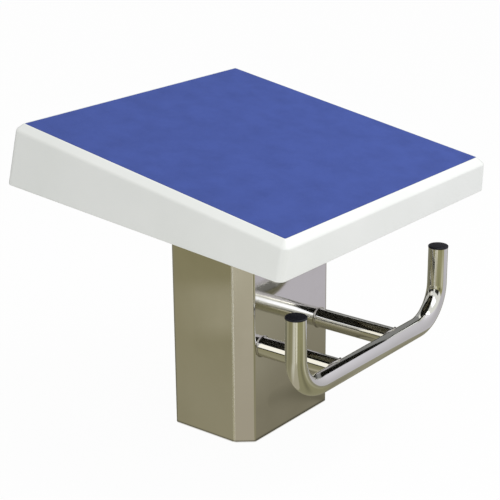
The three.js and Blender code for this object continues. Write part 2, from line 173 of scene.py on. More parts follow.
def soften_edges(piece: bpy.types.Object, width: float) -> None:
    """Breaks a piece's sharp edges with a small round of two faces.

    Args:
        piece: The object.
        width: The round's width.
    """
    bevel = piece.modifiers.new("broken edges", "BEVEL")
    bevel.width = width
    bevel.segments = 2
    bevel.limit_method = "ANGLE"
    bevel.angle_limit = SHARP_ANGLE
    bevel.harden_normals = False


def settle(piece: bpy.types.Object) -> None:
    """Applies a piece's modifiers, so that its mesh holds its final shape.

    Args:
        piece: The object.
    """
    bpy.context.view_layer.update()
    evaluated = piece.evaluated_get(bpy.context.evaluated_depsgraph_get())
    final = bpy.data.meshes.new_from_object(evaluated)
    piece.modifiers.clear()
    old = piece.data
    piece.data = final
    bpy.data.meshes.remove(old)


class Merge(Enum):
    """How two solids are made into one."""

    JOIN = "UNION"
    CUT = "DIFFERENCE"
    OVERLAP = "INTERSECT"


def combine(piece: bpy.types.Object, other: bpy.types.Object, merge: Merge) -> None:
    """Makes a piece and another one into one solid. The other one is used up.

    Args:
        piece: The object that is kept.
        other: The object that is used up.
        merge: How they are made into one.
    """
    boolean = piece.modifiers.new("boolean", "BOOLEAN")
    boolean.operation = merge.value
    boolean.solver = "EXACT"
    boolean.object = other
    settle(piece)
    bpy.data.objects.remove(other)


# Outlines


def fillet(corners: Sequence[Vector], radius: float, steps: int) -> Ring:
    """Rounds every corner of a convex outline.

    Args:
        corners: The outline's corners in the plane, anticlockwise.
        radius: The corners' radius.
        steps: How many stretches each arc has.

    Returns:
        The rounded outline's points.
    """
    points = []
    for i, corner in enumerate(corners):
        before = (corners[i - 1] - corner).normalized()
        after = (corners[(i + 1) % len(corners)] - corner).normalized()
        half = before.angle(after) / 2
        centre = corner + (before + after).normalized() * (radius / math.sin(half))
        start = corner + before * (radius / math.tan(half)) - centre
        turn = math.pi - 2 * half
        for step in range(steps + 1):
            angle = turn * step / steps
            turned = Vector((
                start.x * math.cos(angle) - start.y * math.sin(angle),
                start.x * math.sin(angle) + start.y * math.cos(angle),
            ))
            points.append(centre + turned)
    return points


def inset_outline(points: Sequence[Vector], distance: float) -> Ring:
    """Moves each side of a convex anticlockwise outline inwards.

    Args:
        points: The outline's corners.
        distance: How far each side moves.

    Returns:
        The corners of the smaller outline.
    """
    count = len(points)
    sides = []
    for i, point in enumerate(points):
        along = (points[(i + 1) % count] - point).normalized()
        sides.append((point + Vector((-along.y, along.x)) * distance, along))
    corners = []
    for i, (base, along) in enumerate(sides):
        before, before_along = sides[i - 1]
        travel = (base - before).cross(along) / before_along.cross(along)
        corners.append(before + before_along * travel)
    return corners


def rectangle(x0: float, x1: float, y0: float, y1: float) -> Ring:
    """Returns a rectangle's corners, anticlockwise."""
    return [Vector((x0, y0)), Vector((x1, y0)), Vector((x1, y1)), Vector((x0, y1))]


def circle(radius: float, sides: int) -> Ring:
    """Returns the points of a circle about the origin of a plane."""
    angles = (2 * math.pi * side / sides for side in range(sides))
    return [Vector((radius * math.cos(angle), radius * math.sin(angle))) for angle in angles]


def quarter_arc(radius: float, steps: int) -> list[Place]:
    """Returns (inset, rise) pairs of a quarter round, from its outside up to its top."""
    angles = (math.pi / 2 * step / steps for step in range(steps + 1))
    return [(radius * (1 - math.cos(angle)), radius * math.sin(angle)) for angle in angles]


def turned(profile: Sequence[Place], sides: int) -> list[Ring]:
    """Turns a profile about Z.

    Args:
        profile: Pairs of a radius and a height.
        sides: How many sides the turned body has.

    Returns:
        One ring for each pair.
    """
    return [
        [Vector((spot.x, spot.y, height)) for spot in circle(radius, sides)]
        for radius, height in profile
    ]


# Finishes


class Maths(Enum):
    """What a maths node works out from its values."""

    SUM = "ADD"
    PRODUCT = "MULTIPLY"
    LARGER = "MAXIMUM"
    SIZE = "ABSOLUTE"
    DIRECTION = "ARCTAN2"


class VectorMaths(Enum):
    """What a vector maths node works out from its vectors."""

    DIFFERENCE = "SUBTRACT"
    PRODUCT = "MULTIPLY"
    DOT = "DOT_PRODUCT"
    LENGTH = "LENGTH"


class Run(Enum):
    """How a ramp runs from its low end to its high one."""

    STRAIGHT = "LINEAR"
    SOFT = "SMOOTHSTEP"


def opaque(colour: Colour | Socket) -> tuple[float, float, float, float] | Socket:
    """Returns a colour with its alpha, and leaves a socket as it is."""
    return colour if isinstance(colour, bpy.types.NodeSocket) else (*colour, 1.0)


class NodeTree:
    """Writes the nodes of one tree."""

    def __init__(self, tree: bpy.types.NodeTree) -> None:
        """Empties the tree."""
        self.tree = tree
        self.tree.nodes.clear()

    def node(self, kind: str, inputs: dict | None = None, **settings) -> bpy.types.Node:
        """Adds a node.

        Args:
            kind: The node's type.
            inputs: Values or sockets for its inputs, by name or index.
            **settings: The node's own settings.

        Returns:
            The new node.
        """
        made = self.tree.nodes.new(kind)
        for name, value in settings.items():
            setattr(made, name, value)
        for name, value in (inputs or {}).items():
            if isinstance(value, bpy.types.NodeSocket):
                self.tree.links.new(value, made.inputs[name])
            else:
                made.inputs[name].default_value = value
        return made

    def maths(self, kind: Maths, *values: Socket | float) -> Socket:
        """Returns what a maths node works out from its values."""
        return self.node("ShaderNodeMath", dict(enumerate(values)), operation=kind.value).outputs[0]

    def vector_maths(self, kind: VectorMaths, *values: Socket | Axes) -> Socket:
        """Returns what a vector maths node works out, which is a number for a dot product or a length."""
        made = self.node("ShaderNodeVectorMath", dict(enumerate(values)), operation=kind.value)
        return made.outputs["Value" if kind in (VectorMaths.DOT, VectorMaths.LENGTH) else "Vector"]

    def ramp(
        self, value: Socket, low: float, high: float,
        to_low: float = 0.0, to_high: float = 1.0, run: Run = Run.STRAIGHT,
    ) -> Socket:
        """Maps a value's range onto another one, clamped.

        Args:
            value: The value.
            low: The value that becomes to_low.
            high: The value that becomes to_high.
            to_low: The result at low.
            to_high: The result at high.
            run: How it runs between them.

        Returns:
            The mapped value.
        """
        inputs = {"Value": value, 1: low, 2: high, 3: to_low, 4: to_high}
        made = self.node("ShaderNodeMapRange", inputs, clamp=True, interpolation_type=run.value)
        return made.outputs["Result"]

    def eye_rays(self) -> Socket:
        """Returns 1 for rays that show the background as such: straight ones, reflections and glass.

        Returns:
            1 for those rays, and 0 for the rays that light the block.
        """
        path = self.node("ShaderNodeLightPath").outputs
        seen = self.maths(Maths.LARGER, path["Is Camera Ray"], path["Is Glossy Ray"])
        return self.maths(Maths.LARGER, seen, path["Is Transmission Ray"])


class Shader(NodeTree):
    """Writes the nodes of one material."""

    def __init__(self, name: str) -> None:
        """Starts an empty material.

        Args:
            name: The material's name.
        """
        self.material = bpy.data.materials.new(name)
        self.material.use_nodes = True
        super().__init__(self.material.node_tree)
        self.place = self.node("ShaderNodeTexCoord").outputs["Object"]

    def stretched(self, scale: Axes) -> Socket:
        """Returns the piece's coordinates multiplied along each axis."""
        return self.vector_maths(VectorMaths.PRODUCT, self.place, scale)

    def noise(
        self, scale: float, detail: float = 2.0, roughness: float = 0.5, place: Socket | None = None,
    ) -> Socket:
        """Returns a noise value from about 0 to 1.

        Args:
            scale: Waves in a metre.
            detail: How many finer layers it has.
            roughness: How strong the finer layers are.
            place: The coordinates, or None for the piece's own.

        Returns:
            The noise value.
        """
        inputs = {"Vector": place or self.place, "Scale": scale, "Detail": detail, "Roughness": roughness}
        return self.node("ShaderNodeTexNoise", inputs).outputs["Fac"]

    def mixed(self, share: Socket, first: Colour | Socket, second: Colour | Socket) -> Socket:
        """Mixes two colours.

        Args:
            share: 0 for the first colour and 1 for the second.
            first: The first colour, or a socket that holds it.
            second: The second colour, or a socket that holds it.

        Returns:
            The mixed colour.
        """
        inputs = {0: share, 6: opaque(first), 7: opaque(second)}
        return self.node("ShaderNodeMix", inputs, data_type="RGBA").outputs[2]

    def bump(self, height: Socket, depth: float, normal: Socket | None = None) -> Socket:
        """Tilts the normal as if the surface had a relief.

        Args:
            height: The relief, from 0 to 1.
            depth: The relief's height in metres.
            normal: A normal that already holds other relief.

        Returns:
            The tilted normal.
        """
        inputs = {"Height": height, "Strength": 1.0, "Distance": depth}
        if normal is not None:
            inputs["Normal"] = normal
        return self.node("ShaderNodeBump", inputs).outputs["Normal"]

    def glow(self, colour: Colour | Socket, strength: Socket | float = 1.0) -> Socket:
        """Returns a surface that gives off light."""
        return self.node("ShaderNodeEmission", {"Color": opaque(colour), "Strength": strength}).outputs[0]

    def blend(self, share: Socket, first: Socket, second: Socket) -> Socket:
        """Mixes two surfaces, where a share of 0 shows the first one and 1 the second."""
        return self.node("ShaderNodeMixShader", {0: share, 1: first, 2: second}).outputs[0]

    def show(self, surface: Socket) -> bpy.types.Material:
        """Gives the material its surface and returns the material."""
        self.node("ShaderNodeOutputMaterial", {"Surface": surface})
        return self.material

    def surface(self, **inputs) -> bpy.types.Material:
        """Ends the material in a Principled shader.

        Args:
            **inputs: The shader's inputs, with spaces in their names written as underscores.

        Returns:
            The material.
        """
        named = {name.replace("_", " "): value for name, value in inputs.items()}
        return self.show(self.node("ShaderNodeBsdfPrincipled", named).outputs[0])


@dataclass(frozen=True)
class GelCoat:
    """White gel coat: glossy, a little cloudy, with a faint orange peel.

    Attributes:
        colour: Its colour.
        cloud: The colour of its faint clouds.
        least_roughness: The blur of its reflections where it is cleanest.
        most_roughness: The blur of its reflections where it is dullest.
        coat: The share of the clear layer on top.
        coat_roughness: The blur of that layer's reflections.
        wave_depth: The depth of its slow waves.
        peel_depth: The depth of the orange peel.
    """

    colour: Colour = (0.80, 0.815, 0.79)
    cloud: Colour = (0.765, 0.785, 0.755)
    least_roughness: float = 0.30
    most_roughness: float = 0.40
    coat: float = 0.25
    coat_roughness: float = 0.12
    wave_depth: float = 0.0004
    peel_depth: float = 0.000012

    def material(self) -> bpy.types.Material:
        """Builds the finish.

        Returns:
            The material.
        """
        shader = Shader("gel coat")
        cloud = shader.ramp(shader.noise(scale=9.0, detail=3.0), low=0.35, high=0.75)
        waves = shader.bump(shader.noise(scale=14.0, detail=1.0), self.wave_depth)
        dust = shader.noise(scale=60.0, detail=4.0)
        return shader.surface(
            Base_Color=shader.mixed(cloud, self.colour, self.cloud),
            Roughness=shader.ramp(dust, 0.3, 0.7, self.least_roughness, self.most_roughness),
            Normal=shader.bump(shader.noise(scale=520.0, detail=1.0), self.peel_depth, waves),
            Coat_Weight=self.coat,
            Coat_Roughness=self.coat_roughness,
            IOR=1.48,
        )


@dataclass(frozen=True)
class Laminate:
    """The moulding's inside: dark resin over chopped glass strands. Its near-black colour is partly painted
    shade for the hollow under the platform.

    Attributes:
        colour: The resin's colour, darkened in part as painted shade under the platform.
        strand: The strands' colour.
        strand_depth: How far the strands stand out.
        wave_depth: The depth of its slow waves.
        strand_scale: A strand's waves in a metre across it, along it and in its thickness.
    """

    colour: Colour = (0.030, 0.030, 0.028)
    strand: Colour = (0.075, 0.074, 0.068)
    strand_depth: float = 0.0006
    wave_depth: float = 0.0012
    strand_scale: Axes = (900.0, 90.0, 300.0)

    def material(self) -> bpy.types.Material:
        """Builds the finish.

        Returns:
            The material.
        """
        shader = Shader("glass laminate")
        fine, coarse, thick = self.strand_scale
        along, across = (
            shader.noise(scale=1.0, detail=3.0, roughness=0.6, place=shader.stretched(scale))
            for scale in ((fine, coarse, thick), (coarse, fine, thick))
        )
        strands = shader.maths(Maths.LARGER, along, across)
        waves = shader.bump(shader.noise(scale=40.0), self.wave_depth)
        return shader.surface(
            Base_Color=shader.mixed(shader.ramp(strands, low=0.5, high=0.8), self.colour, self.strand),
            Roughness=shader.ramp(strands, low=0.4, high=0.8, to_low=0.42, to_high=0.62),
            Normal=shader.bump(strands, self.strand_depth, waves),
        )


@dataclass(frozen=True)
class NonSlipBlue:
    """Blue non-slip coating with a fine sharp grit.

    Attributes:
        colour: Its colour.
        shade: The colour of its darker patches.
        fleck: The colour of the grains that catch light.
        roughness: The blur of its reflections.
        grit_depth: The depth of the grit.
    """

    colour: Colour = (0.036, 0.069, 0.296)
    shade: Colour = (0.028, 0.056, 0.250)
    fleck: Colour = (0.054, 0.094, 0.355)
    roughness: float = 0.72
    grit_depth: float = 0.0002

    def material(self) -> bpy.types.Material:
        """Builds the finish.

        Returns:
            The material.
        """
        shader = Shader("blue non-slip")
        grit = shader.noise(scale=1400.0, detail=3.0, roughness=0.6)
        patches = shader.ramp(shader.noise(scale=26.0, detail=5.0, roughness=0.62), low=0.38, high=0.68)
        base = shader.mixed(patches, self.colour, self.shade)
        return shader.surface(
            Base_Color=shader.mixed(shader.ramp(grit, low=0.52, high=0.78), base, self.fleck),
            Roughness=self.roughness,
            Specular_IOR_Level=0.3,
            Normal=shader.bump(grit, self.grit_depth),
        )


@dataclass(frozen=True)
class Stainless:
    """Steel, from mirror-polished to mill finish.

    Attributes:
        name: The material's name.
        colour: The metal's colour.
        stain: The colour of its faint cloudy marks.
        roughness: The blur of its reflections.
        stain_blur: How many times as blurred the reflections in its marks are.
        waviness: The depth of the slow waves that bend its reflections.
        line_depth: The depth of its polishing lines.
        line_scale: The polishing lines' waves in a metre along X, Y and Z.
    """

    name: str
    colour: Colour = (0.66, 0.645, 0.61)
    stain: Colour = (0.60, 0.585, 0.54)
    roughness: float = 0.06
    stain_blur: float = 1.6
    waviness: float = 0.0002
    line_depth: float = 0.0000006
    line_scale: Axes = (1500.0, 1500.0, 12.0)

    def material(self) -> bpy.types.Material:
        """Builds the finish.

        Returns:
            The material.
        """
        shader = Shader(self.name)
        lines = shader.noise(scale=1.0, place=shader.stretched(self.line_scale))
        marks = shader.ramp(shader.noise(scale=7.0, detail=5.0, roughness=0.6), low=0.42, high=0.72)
        waves = shader.bump(shader.noise(scale=5.0, detail=1.0, roughness=0.4), self.waviness)
        return shader.surface(
            Base_Color=shader.mixed(marks, self.colour, self.stain),
            Metallic=1.0,
            Roughness=shader.ramp(marks, 0.0, 1.0, self.roughness, self.roughness * self.stain_blur),
            Normal=shader.bump(lines, self.line_depth, waves),
        )


@dataclass(frozen=True)
class Plywood:
    """Sealed marine plywood with long grain and darker plies.

    Attributes:
        colour: The wood's colour.
        dark: The colour of its dark grain.
        roughness: The blur of its reflections.
        grain_depth: The depth of the grain.
        grain_scale: The grain's waves in a metre along X, Y and Z.
    """

    colour: Colour = (0.40, 0.245, 0.115)
    dark: Colour = (0.22, 0.12, 0.05)
    roughness: float = 0.55
    grain_depth: float = 0.0002
    grain_scale: Axes = (8.0, 160.0, 700.0)

    def material(self) -> bpy.types.Material:
        """Builds the finish.

        Returns:
            The material.
        """
        shader = Shader("plywood")
        grain = shader.noise(scale=1.0, detail=5.0, roughness=0.65, place=shader.stretched(self.grain_scale))
        return shader.surface(
            Base_Color=shader.mixed(shader.ramp(grain, low=0.35, high=0.7), self.colour, self.dark),
            Roughness=self.roughness,
            Normal=shader.bump(grain, self.grain_depth),
        )


@dataclass(frozen=True)
class BlackPlastic:
    """Moulded black plastic with a fine spark-eroded grain.

    Attributes:
        colour: Its colour.
        worn: The colour of the grain's tops.
        roughness: The blur of its reflections.
        grain_depth: The depth of the grain.
    """

    colour: Colour = (0.007, 0.0075, 0.012)
    worn: Colour = (0.012, 0.013, 0.02)
    roughness: float = 0.5
    grain_depth: float = 0.00003

    def material(self) -> bpy.types.Material:
        """Builds the finish.

        Returns:
            The material.
        """
        shader = Shader("black plastic")
        grain = shader.noise(scale=2400.0)
        return shader.surface(
            Base_Color=shader.mixed(shader.ramp(grain, low=0.4, high=0.8), self.colour, self.worn),
            Roughness=self.roughness,
            Specular_IOR_Level=0.3,
            Normal=shader.bump(grain, self.grain_depth),
        )


# Pieces


def fit(piece: bpy.types.Object, nodes: Sequence[str]) -> None:
    """Gives a piece its body, and hides the CAD nodes that it stands for.

    Args:
        piece: The object.
        nodes: The CAD nodes that it replaces.
    """
    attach(piece, BODY)
    if nodes:
        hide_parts(*nodes)
    log.info("%s: %d faces", piece.name, len(piece.data.polygons))


@dataclass(frozen=True)
class Level:
    """One level of the moulding: how far its outline stands out from the deck's edges, and its depth.

    Attributes:
        side: How far it stands out on the left and the right.
        front: How far it stands out at the front.
        rear: How far it stands out at the rear.
        depth_front: Its depth below the deck plane at the front.
        depth_rear: Its depth below the deck plane at the rear.
        radius: The radius of its corners.
    """

    side: float
    front: float
    rear: float
    depth_front: float
    depth_rear: float
    radius: float

    @staticmethod
    def even(out: float, depth: float, radius: float) -> Level:
        """Returns a level that stands out and lies deep by the same amounts all round."""
        return Level(out, out, out, depth, depth, radius)

    def mix(self, other: Level, share: float) -> Level:
        """Returns the level at a share of the way to another one."""
        names = [item.name for item in fields(self)]
        return Level(*(getattr(self, name) * (1 - share) + getattr(other, name) * share for name in names))

    def inset(self, wall: float) -> Level:
        """Moves the level inwards.

        Args:
            wall: How far it moves.

        Returns:
            The moved level.
        """
        return replace(
            self, side=self.side - wall, front=self.front - wall,
            rear=self.rear - wall, radius=self.radius - wall,
        )


def knee(first: Level, corner: Level, last: Level, steps: int) -> list[Level]:
    """Returns levels on a quadratic curve from first to last that is drawn towards a corner."""
    shares = [step / steps for step in range(steps + 1)]
    return [first.mix(corner, share).mix(corner.mix(last, share), share) for share in shares]


@dataclass(frozen=True)
class DeckPlane:
    """The sloping plane of the deck, which the platform's pieces are measured from.

    Attributes:
        slope: The angle by which it falls to the front.
        axis_height: Its height above the floor on the column's axis.
        width: The deck's width.
        front_reach: From the axis to the deck's front edge, along the slope.
        rear_reach: From the axis to the deck's rear edge, along the slope.
    """

    slope: float = math.radians(9.74)
    axis_height: float = 0.4182
    width: float = 0.460
    front_reach: float = 0.2316
    rear_reach: float = 0.2204

    @property
    def matrix(self) -> Matrix:
        """The placement of the plane's own axes in the frame."""
        return Matrix.Translation((0, 0, self.axis_height)) @ Matrix.Rotation(self.slope, 4, "X")

    def at(self, x: float, along: float, depth: float) -> Vector:
        """Returns the point at x, so far along the slope and so deep below the plane."""
        return self.matrix @ Vector((x, along, -depth))


@dataclass
class Platform:
    """The moulded platform and the ribs under it.

    Attributes:
        deck: The plane of its top.
        land: The width of the flat rim beside the recess.
        rim_side_out: How far the rim stands out from the deck on the left and the right.
        rim_front_out: How far the rim stands out at the front.
        rim_rear_out: How far the rim stands out at the rear.
        rim_drop: The depth of the rim's outer edge below the deck plane.
        rim_rounding: How far from the rim's outer edge its rounding reaches.
        land_rounding: How far from the land's outer edge its rounding reaches.
        wall_corner: The radius of the walls' corners.
        skirt_front_depth: The depth of the skirt's lip at the front.
        skirt_rear_depth: The depth of the skirt's lip at the rear.
        side_flare: How far the lip stands out on the left and the right.
        front_flare: How far the lip stands out at the front.
        rear_flare: How far the lip stands out at the rear.
        edge_rounding: How far the lip's rounding reaches.
        wall: The walls' thickness.
        skin: The thickness under the recess.
        inner_knee_depth: The depth at which the walls turn into the skin inside.
        knee_start: The share of the inner wall below its rounding.
        knee_end: The share of the way from the inner knee to the skin that its rounding reaches.
        recess: The depth of the deck layer's recess.
        recess_corner: The radius of its corners.
        recess_rounding: The rounding of its brink.
        shelf_share: Where the land's flat top ends, as a share of the land.
        rib_thickness: The ribs' thickness.
        rib_depth: How far the ribs reach below the skin.
        rib_edge_break: The rounding of the ribs' edges.
        bay_half_width: From the axis to the ribs beside the flange.
        bay_half_length: From the flange's middle to the ribs in front of it and behind it.
        flange_depth: The depth of the column's flange below the deck plane.
        corner_steps: How many stretches the corners have.
        brink_steps: How many stretches the recess's brink has.
        land_steps: How many stretches the land's rounding has.
        knee_steps: How many stretches the rim's rounding has.
        lip_steps: How many stretches the lip's rounding has.
        inner_steps: How many stretches the inner knee has.
    """

    deck: DeckPlane = field(default_factory=DeckPlane)
    land: float = 0.0015
    rim_side_out: float = 0.0115
    rim_front_out: float = 0.012
    rim_rear_out: float = 0.0097
    rim_drop: float = 0.0084
    rim_rounding: float = 0.0017
    land_rounding: float = 0.0012
    wall_corner: float = 0.010
    skirt_front_depth: float = 0.050
    skirt_rear_depth: float = 0.0901
    side_flare: float = 0.0171
    front_flare: float = 0.0148
    rear_flare: float = 0.0125
    edge_rounding: float = 0.0015
    wall: float = 0.005
    skin: float = 0.005
    inner_knee_depth: float = 0.012
    knee_start: float = 0.94
    knee_end: float = 0.6
    recess: float = 0.002
    recess_corner: float = 0.0015
    recess_rounding: float = 0.0004
    shelf_share: float = 0.4
    rib_thickness: float = 0.005
    rib_depth: float = 0.026
    rib_edge_break: float = 0.0007
    bay_half_width: float = 0.155
    bay_half_length: float = 0.117
    flange_depth: float = 0.0226
    corner_steps: int = 14
    brink_steps: int = 3
    land_steps: int = 4
    knee_steps: int = 10
    lip_steps: int = 6
    inner_steps: int = 4

    def section(self, level: Level) -> Ring:
        """Draws the moulding's outline at a level.

        Args:
            level: The level.

        Returns:
            The outline's points, in the frame.
        """
        front = -(self.deck.front_reach + level.front)
        rear = self.deck.rear_reach + level.rear
        fall = (level.depth_rear - level.depth_front) / (rear - front)
        half = self.deck.width / 2 + level.side
        outline = fillet(rectangle(-half, half, front, rear), level.radius, self.corner_steps)
        return [self.deck.at(spot.x, spot.y, level.depth_front + fall * (spot.y - front)) for spot in outline]

    def rim(self, depth: float) -> Level:
        """Returns the rim's outer edge, before it is rounded, moved to a depth."""
        return Level(self.rim_side_out, self.rim_front_out, self.rim_rear_out, depth, depth, self.wall_corner)

    @property
    def skirt(self) -> Level:
        """The level of the skirt's lip."""
        return Level(
            self.side_flare, self.front_flare, self.rear_flare,
            self.skirt_front_depth, self.skirt_rear_depth, self.wall_corner,
        )

    def core(self, wall: float, skin: float) -> list[Level]:
        """Finds the levels of a body inside the moulding, from the skirt's lip up.

        Args:
            wall: How far its walls lie inside the moulding's.
            skin: How far its top lies below the recess.

        Returns:
            The levels at its bottom, at its knee and at its top.
        """
        turn = self.rim(self.inner_knee_depth).inset(wall)
        top = self.rim(self.recess + skin).inset(2 * self.wall)
        return [self.skirt.inset(wall), turn, replace(top, radius=turn.radius)]

    def outside_levels(self) -> list[Level]:
        """Finds the levels of the visible outside.

        Returns:
            The levels, from the recess floor over the rim and down to the skirt's lip.
        """
        edge = Level.even(self.land, 0, self.recess_corner + self.land)
        rim = self.rim(self.rim_drop)
        floor = Level.even(0, self.recess, self.recess_corner)
        brink = Level.even(0, self.recess_rounding, self.recess_corner)
        brow = Level.even(0, 0, self.recess_corner)
        shelf = Level.even(self.recess_rounding, 0, self.recess_corner + self.recess_rounding)
        flat = shelf.mix(edge, self.shelf_share)
        bevel_width = self.rim_side_out - self.land
        wall_height = self.skirt_front_depth - self.rim_drop
        land_end = edge.mix(rim, self.land_rounding / bevel_width)
        rim_start = edge.mix(rim, 1 - self.rim_rounding / bevel_width)
        rim_end = rim.mix(self.skirt, self.rim_rounding / wall_height)
        lip_start = self.skirt.mix(rim, self.edge_rounding / wall_height)
        return [
            floor,
            *knee(brink, brow, shelf, self.brink_steps),
            *knee(flat, edge, land_end, self.land_steps),
            *knee(rim_start, rim, rim_end, self.knee_steps),
            *knee(lip_start, self.skirt, self.skirt.inset(self.edge_rounding / 2), self.lip_steps),
        ]

    def inside_levels(self) -> list[Level]:
        """Finds the levels of the inside.

        Returns:
            The levels, from the skirt's lip up to the skin.
        """
        bottom, turn, top = self.core(self.wall, self.skin)
        lip_share = self.edge_rounding / 2 / (self.skirt_front_depth - self.rim_drop)
        start, end = bottom.mix(turn, self.knee_start), turn.mix(top, self.knee_end)
        return [
            self.skirt.inset(self.wall - self.edge_rounding / 2),
            bottom.mix(turn, lip_share),
            *knee(start, turn, end, self.inner_steps),
            top,
        ]

    def shell(self, gel_coat: bpy.types.Material, laminate: bpy.types.Material) -> None:
        """Builds the hollow moulding.

        Args:
            gel_coat: The finish of its outside.
            laminate: The finish of its inside.
        """
        sketch = Sketch()
        outside = [sketch.ring(self.section(level)) for level in self.outside_levels()]
        inside = [sketch.ring(self.section(level)) for level in self.inside_levels()]
        for first, second in zip(outside, outside[1:]):
            sketch.bridge(first, second)
        sketch.bridge(outside[-1], inside[0], 1)
        for first, second in zip(inside, inside[1:]):
            sketch.bridge(first, second, 1)
        sketch.face(outside[0])
        sketch.face(inside[-1], 1)
        piece = sketch.finish("platform_moulding", [gel_coat, laminate])
        weigh_normals(piece)
        fit(piece, ["platform_shell"])

    def rib_spans(self) -> list[tuple[float, float, float, float]]:
        """Finds the plans of the ribs: four long ones that frame a bay, and four short ones out to the skirt.

        Returns:
            The lowest and highest x, and the lowest and highest place along the slope, of each rib.
        """
        half = self.rib_thickness / 2
        far = self.deck.width
        centre = -self.flange_depth * math.tan(self.deck.slope)
        long_x = self.bay_half_width + half
        cross = {side: centre + side * (self.bay_half_length + half) for side in (-1, 1)}
        spans = [(side * long_x - half, side * long_x + half, -far, far) for side in (-1, 1)]
        spans += [(-far, far, cross[side] - half, cross[side] + half) for side in (-1, 1)]
        spans += [(*sorted((side * long_x, side * far)), centre - half, centre + half) for side in (-1, 1)]
        spans += [(-half, half, *sorted((cross[side], side * far))) for side in (-1, 1)]
        return spans

    def ribs(self, laminate: bpy.types.Material) -> None:
        """Builds the ribs under the skin, cut off where they reach the moulding's walls.

        Args:
            laminate: The ribs' finish.
        """
        bottom = self.recess + self.skin + self.rib_depth

        def rib(span: tuple[float, float, float, float]) -> bpy.types.Object:
            """Builds one rib, from the deck plane down.

            Args:
                span: Its lowest and highest x, and its lowest and highest place along the slope.

            Returns:
                The rib.
            """
            plan = rectangle(*span)
            sketch = Sketch()
            sketch.loft([[self.deck.at(spot.x, spot.y, depth) for spot in plan] for depth in (0, bottom)])
            return sketch.finish("rib", [laminate])

        piece, *others = [rib(span) for span in self.rib_spans()]
        for other in others:
            combine(piece, other, Merge.JOIN)
        core = Sketch()
        core.loft([self.section(level) for level in self.core(self.wall / 2, self.skin / 2)])
        combine(piece, core.finish("core", [laminate]), Merge.OVERLAP)
        piece.name = "underside_ribs"
        soften_edges(piece, self.rib_edge_break)
        fit(piece, [])


@dataclass
class NonSlipLayer:
    """The non-slip layer that lies in the platform's recess.

    Attributes:
        platform: The platform that holds it.
        seat_gap: The gap all round it.
        thickness: Its thickness.
        cell: The length of its mesh's cells.
        rounding: The rounding of its upper edges.
        grit_height: How far the grit rises and falls.
        grit_scale: The grit's waves in a metre.
        sharp_angle: Its edges that turn by more than this stay crisp.
    """

    platform: Platform = field(default_factory=Platform)
    seat_gap: float = 0.0003
    thickness: float = 0.002
    cell: float = 0.002
    rounding: float = 0.0004
    grit_height: float = 0.00012
    grit_scale: float = 380.0
    sharp_angle: float = math.radians(60)

    def __post_init__(self) -> None:
        """Works out the layer's plan from the recess."""
        deck = self.platform.deck
        self.half: float = deck.width / 2 - self.seat_gap
        self.front: float = -(deck.front_reach - self.seat_gap)
        self.rear: float = deck.rear_reach - self.seat_gap
        self.middle: float = (self.rear + self.front) / 2
        self.half_length: float = (self.rear - self.front) / 2
        self.corner: float = self.platform.recess_corner - self.seat_gap
        self.bottom: float = self.platform.recess - self.seat_gap
        self.top: float = self.bottom - self.thickness

    def inside(self, x: float, along: float, inset: float) -> Place:
        """Moves a point of the plan inside the layer's rounded outline.

        Args:
            x: The point's x.
            along: Its place along the slope.
            inset: How far the top ends inside the outline.

        Returns:
            Its new x and place along the slope.
        """
        corner_x = self.half - self.corner
        corner_along = self.half_length - self.corner
        past_x = abs(x) - corner_x
        past_along = abs(along - self.middle) - corner_along
        limit = self.corner - inset
        if past_x > 0 and past_along > 0:
            length = max(past_x, past_along) * limit / self.corner
            past_x, past_along = Vector((past_x, past_along)).normalized() * length
        else:
            past_x, past_along = min(past_x, limit), min(past_along, limit)
        new_along = math.copysign(corner_along + past_along, along - self.middle)
        return math.copysign(corner_x + past_x, x), self.middle + new_along

    def beside(self, point: Vector, depth: float) -> Vector:
        """Finds the point of the layer's side next to a point of its top's border.

        Args:
            point: The point of the border.
            depth: The depth of the side's point below the deck plane.

        Returns:
            The point of the side.
        """
        local = self.platform.deck.matrix.inverted() @ point
        along = local.y - self.middle
        out_x = math.copysign(min(abs(local.x) + self.rounding, self.half), local.x)
        out_along = math.copysign(min(abs(along) + self.rounding, self.half_length), along)
        return self.platform.deck.at(out_x, self.middle + out_along, depth)

    def top_rows(self) -> list[Ring]:
        """Draws the layer's top with its grit.

        Returns:
            The rows of its points, from front to rear.
        """
        columns = round(2 * self.half / self.cell)
        rows = round((self.rear - self.front) / self.cell)
        points = []
        for row in range(rows + 1):
            line = []
            for column in range(columns + 1):
                x = -self.half + 2 * self.half * column / columns
                along = self.front + (self.rear - self.front) * row / rows
                border = row in (0, rows) or column in (0, columns)
                x, along = self.inside(x, along, self.rounding if border else 0.0)
                height = 0.0 if border else self.grit_height
                grit = height * noise.noise(Vector((x, along, 0)) * self.grit_scale)
                line.append(self.platform.deck.at(x, along, self.top - grit))
            points.append(line)
        return points

    def build(self, non_slip: bpy.types.Material) -> None:
        """Builds the layer.

        Args:
            non_slip: Its finish.
        """
        sketch = Sketch()
        grid = [sketch.ring(line) for line in self.top_rows()]
        for low, high in zip(grid, grid[1:]):
            for column in range(len(low) - 1):
                sketch.face((low[column], low[column + 1], high[column + 1], high[column]))
        border = [
            *grid[0][:-1], *(line[-1] for line in grid[:-1]),
            *grid[-1][:0:-1], *(line[0] for line in grid[:0:-1]),
        ]
        shoulder = sketch.ring(self.beside(vert.co, self.top + self.rounding) for vert in border)
        foot = sketch.ring(self.beside(vert.co, self.bottom) for vert in border)
        sketch.bridge(border, shoulder)
        sketch.bridge(shoulder, foot)
        sketch.face(foot)
        piece = sketch.finish("non_slip_deck", [non_slip], self.sharp_angle)
        fit(piece, ["deck_pad"])


class Side(Enum):
    """Which side of the handle a piece is on, as seen from the pool."""

    LEFT = -1
    RIGHT = 1


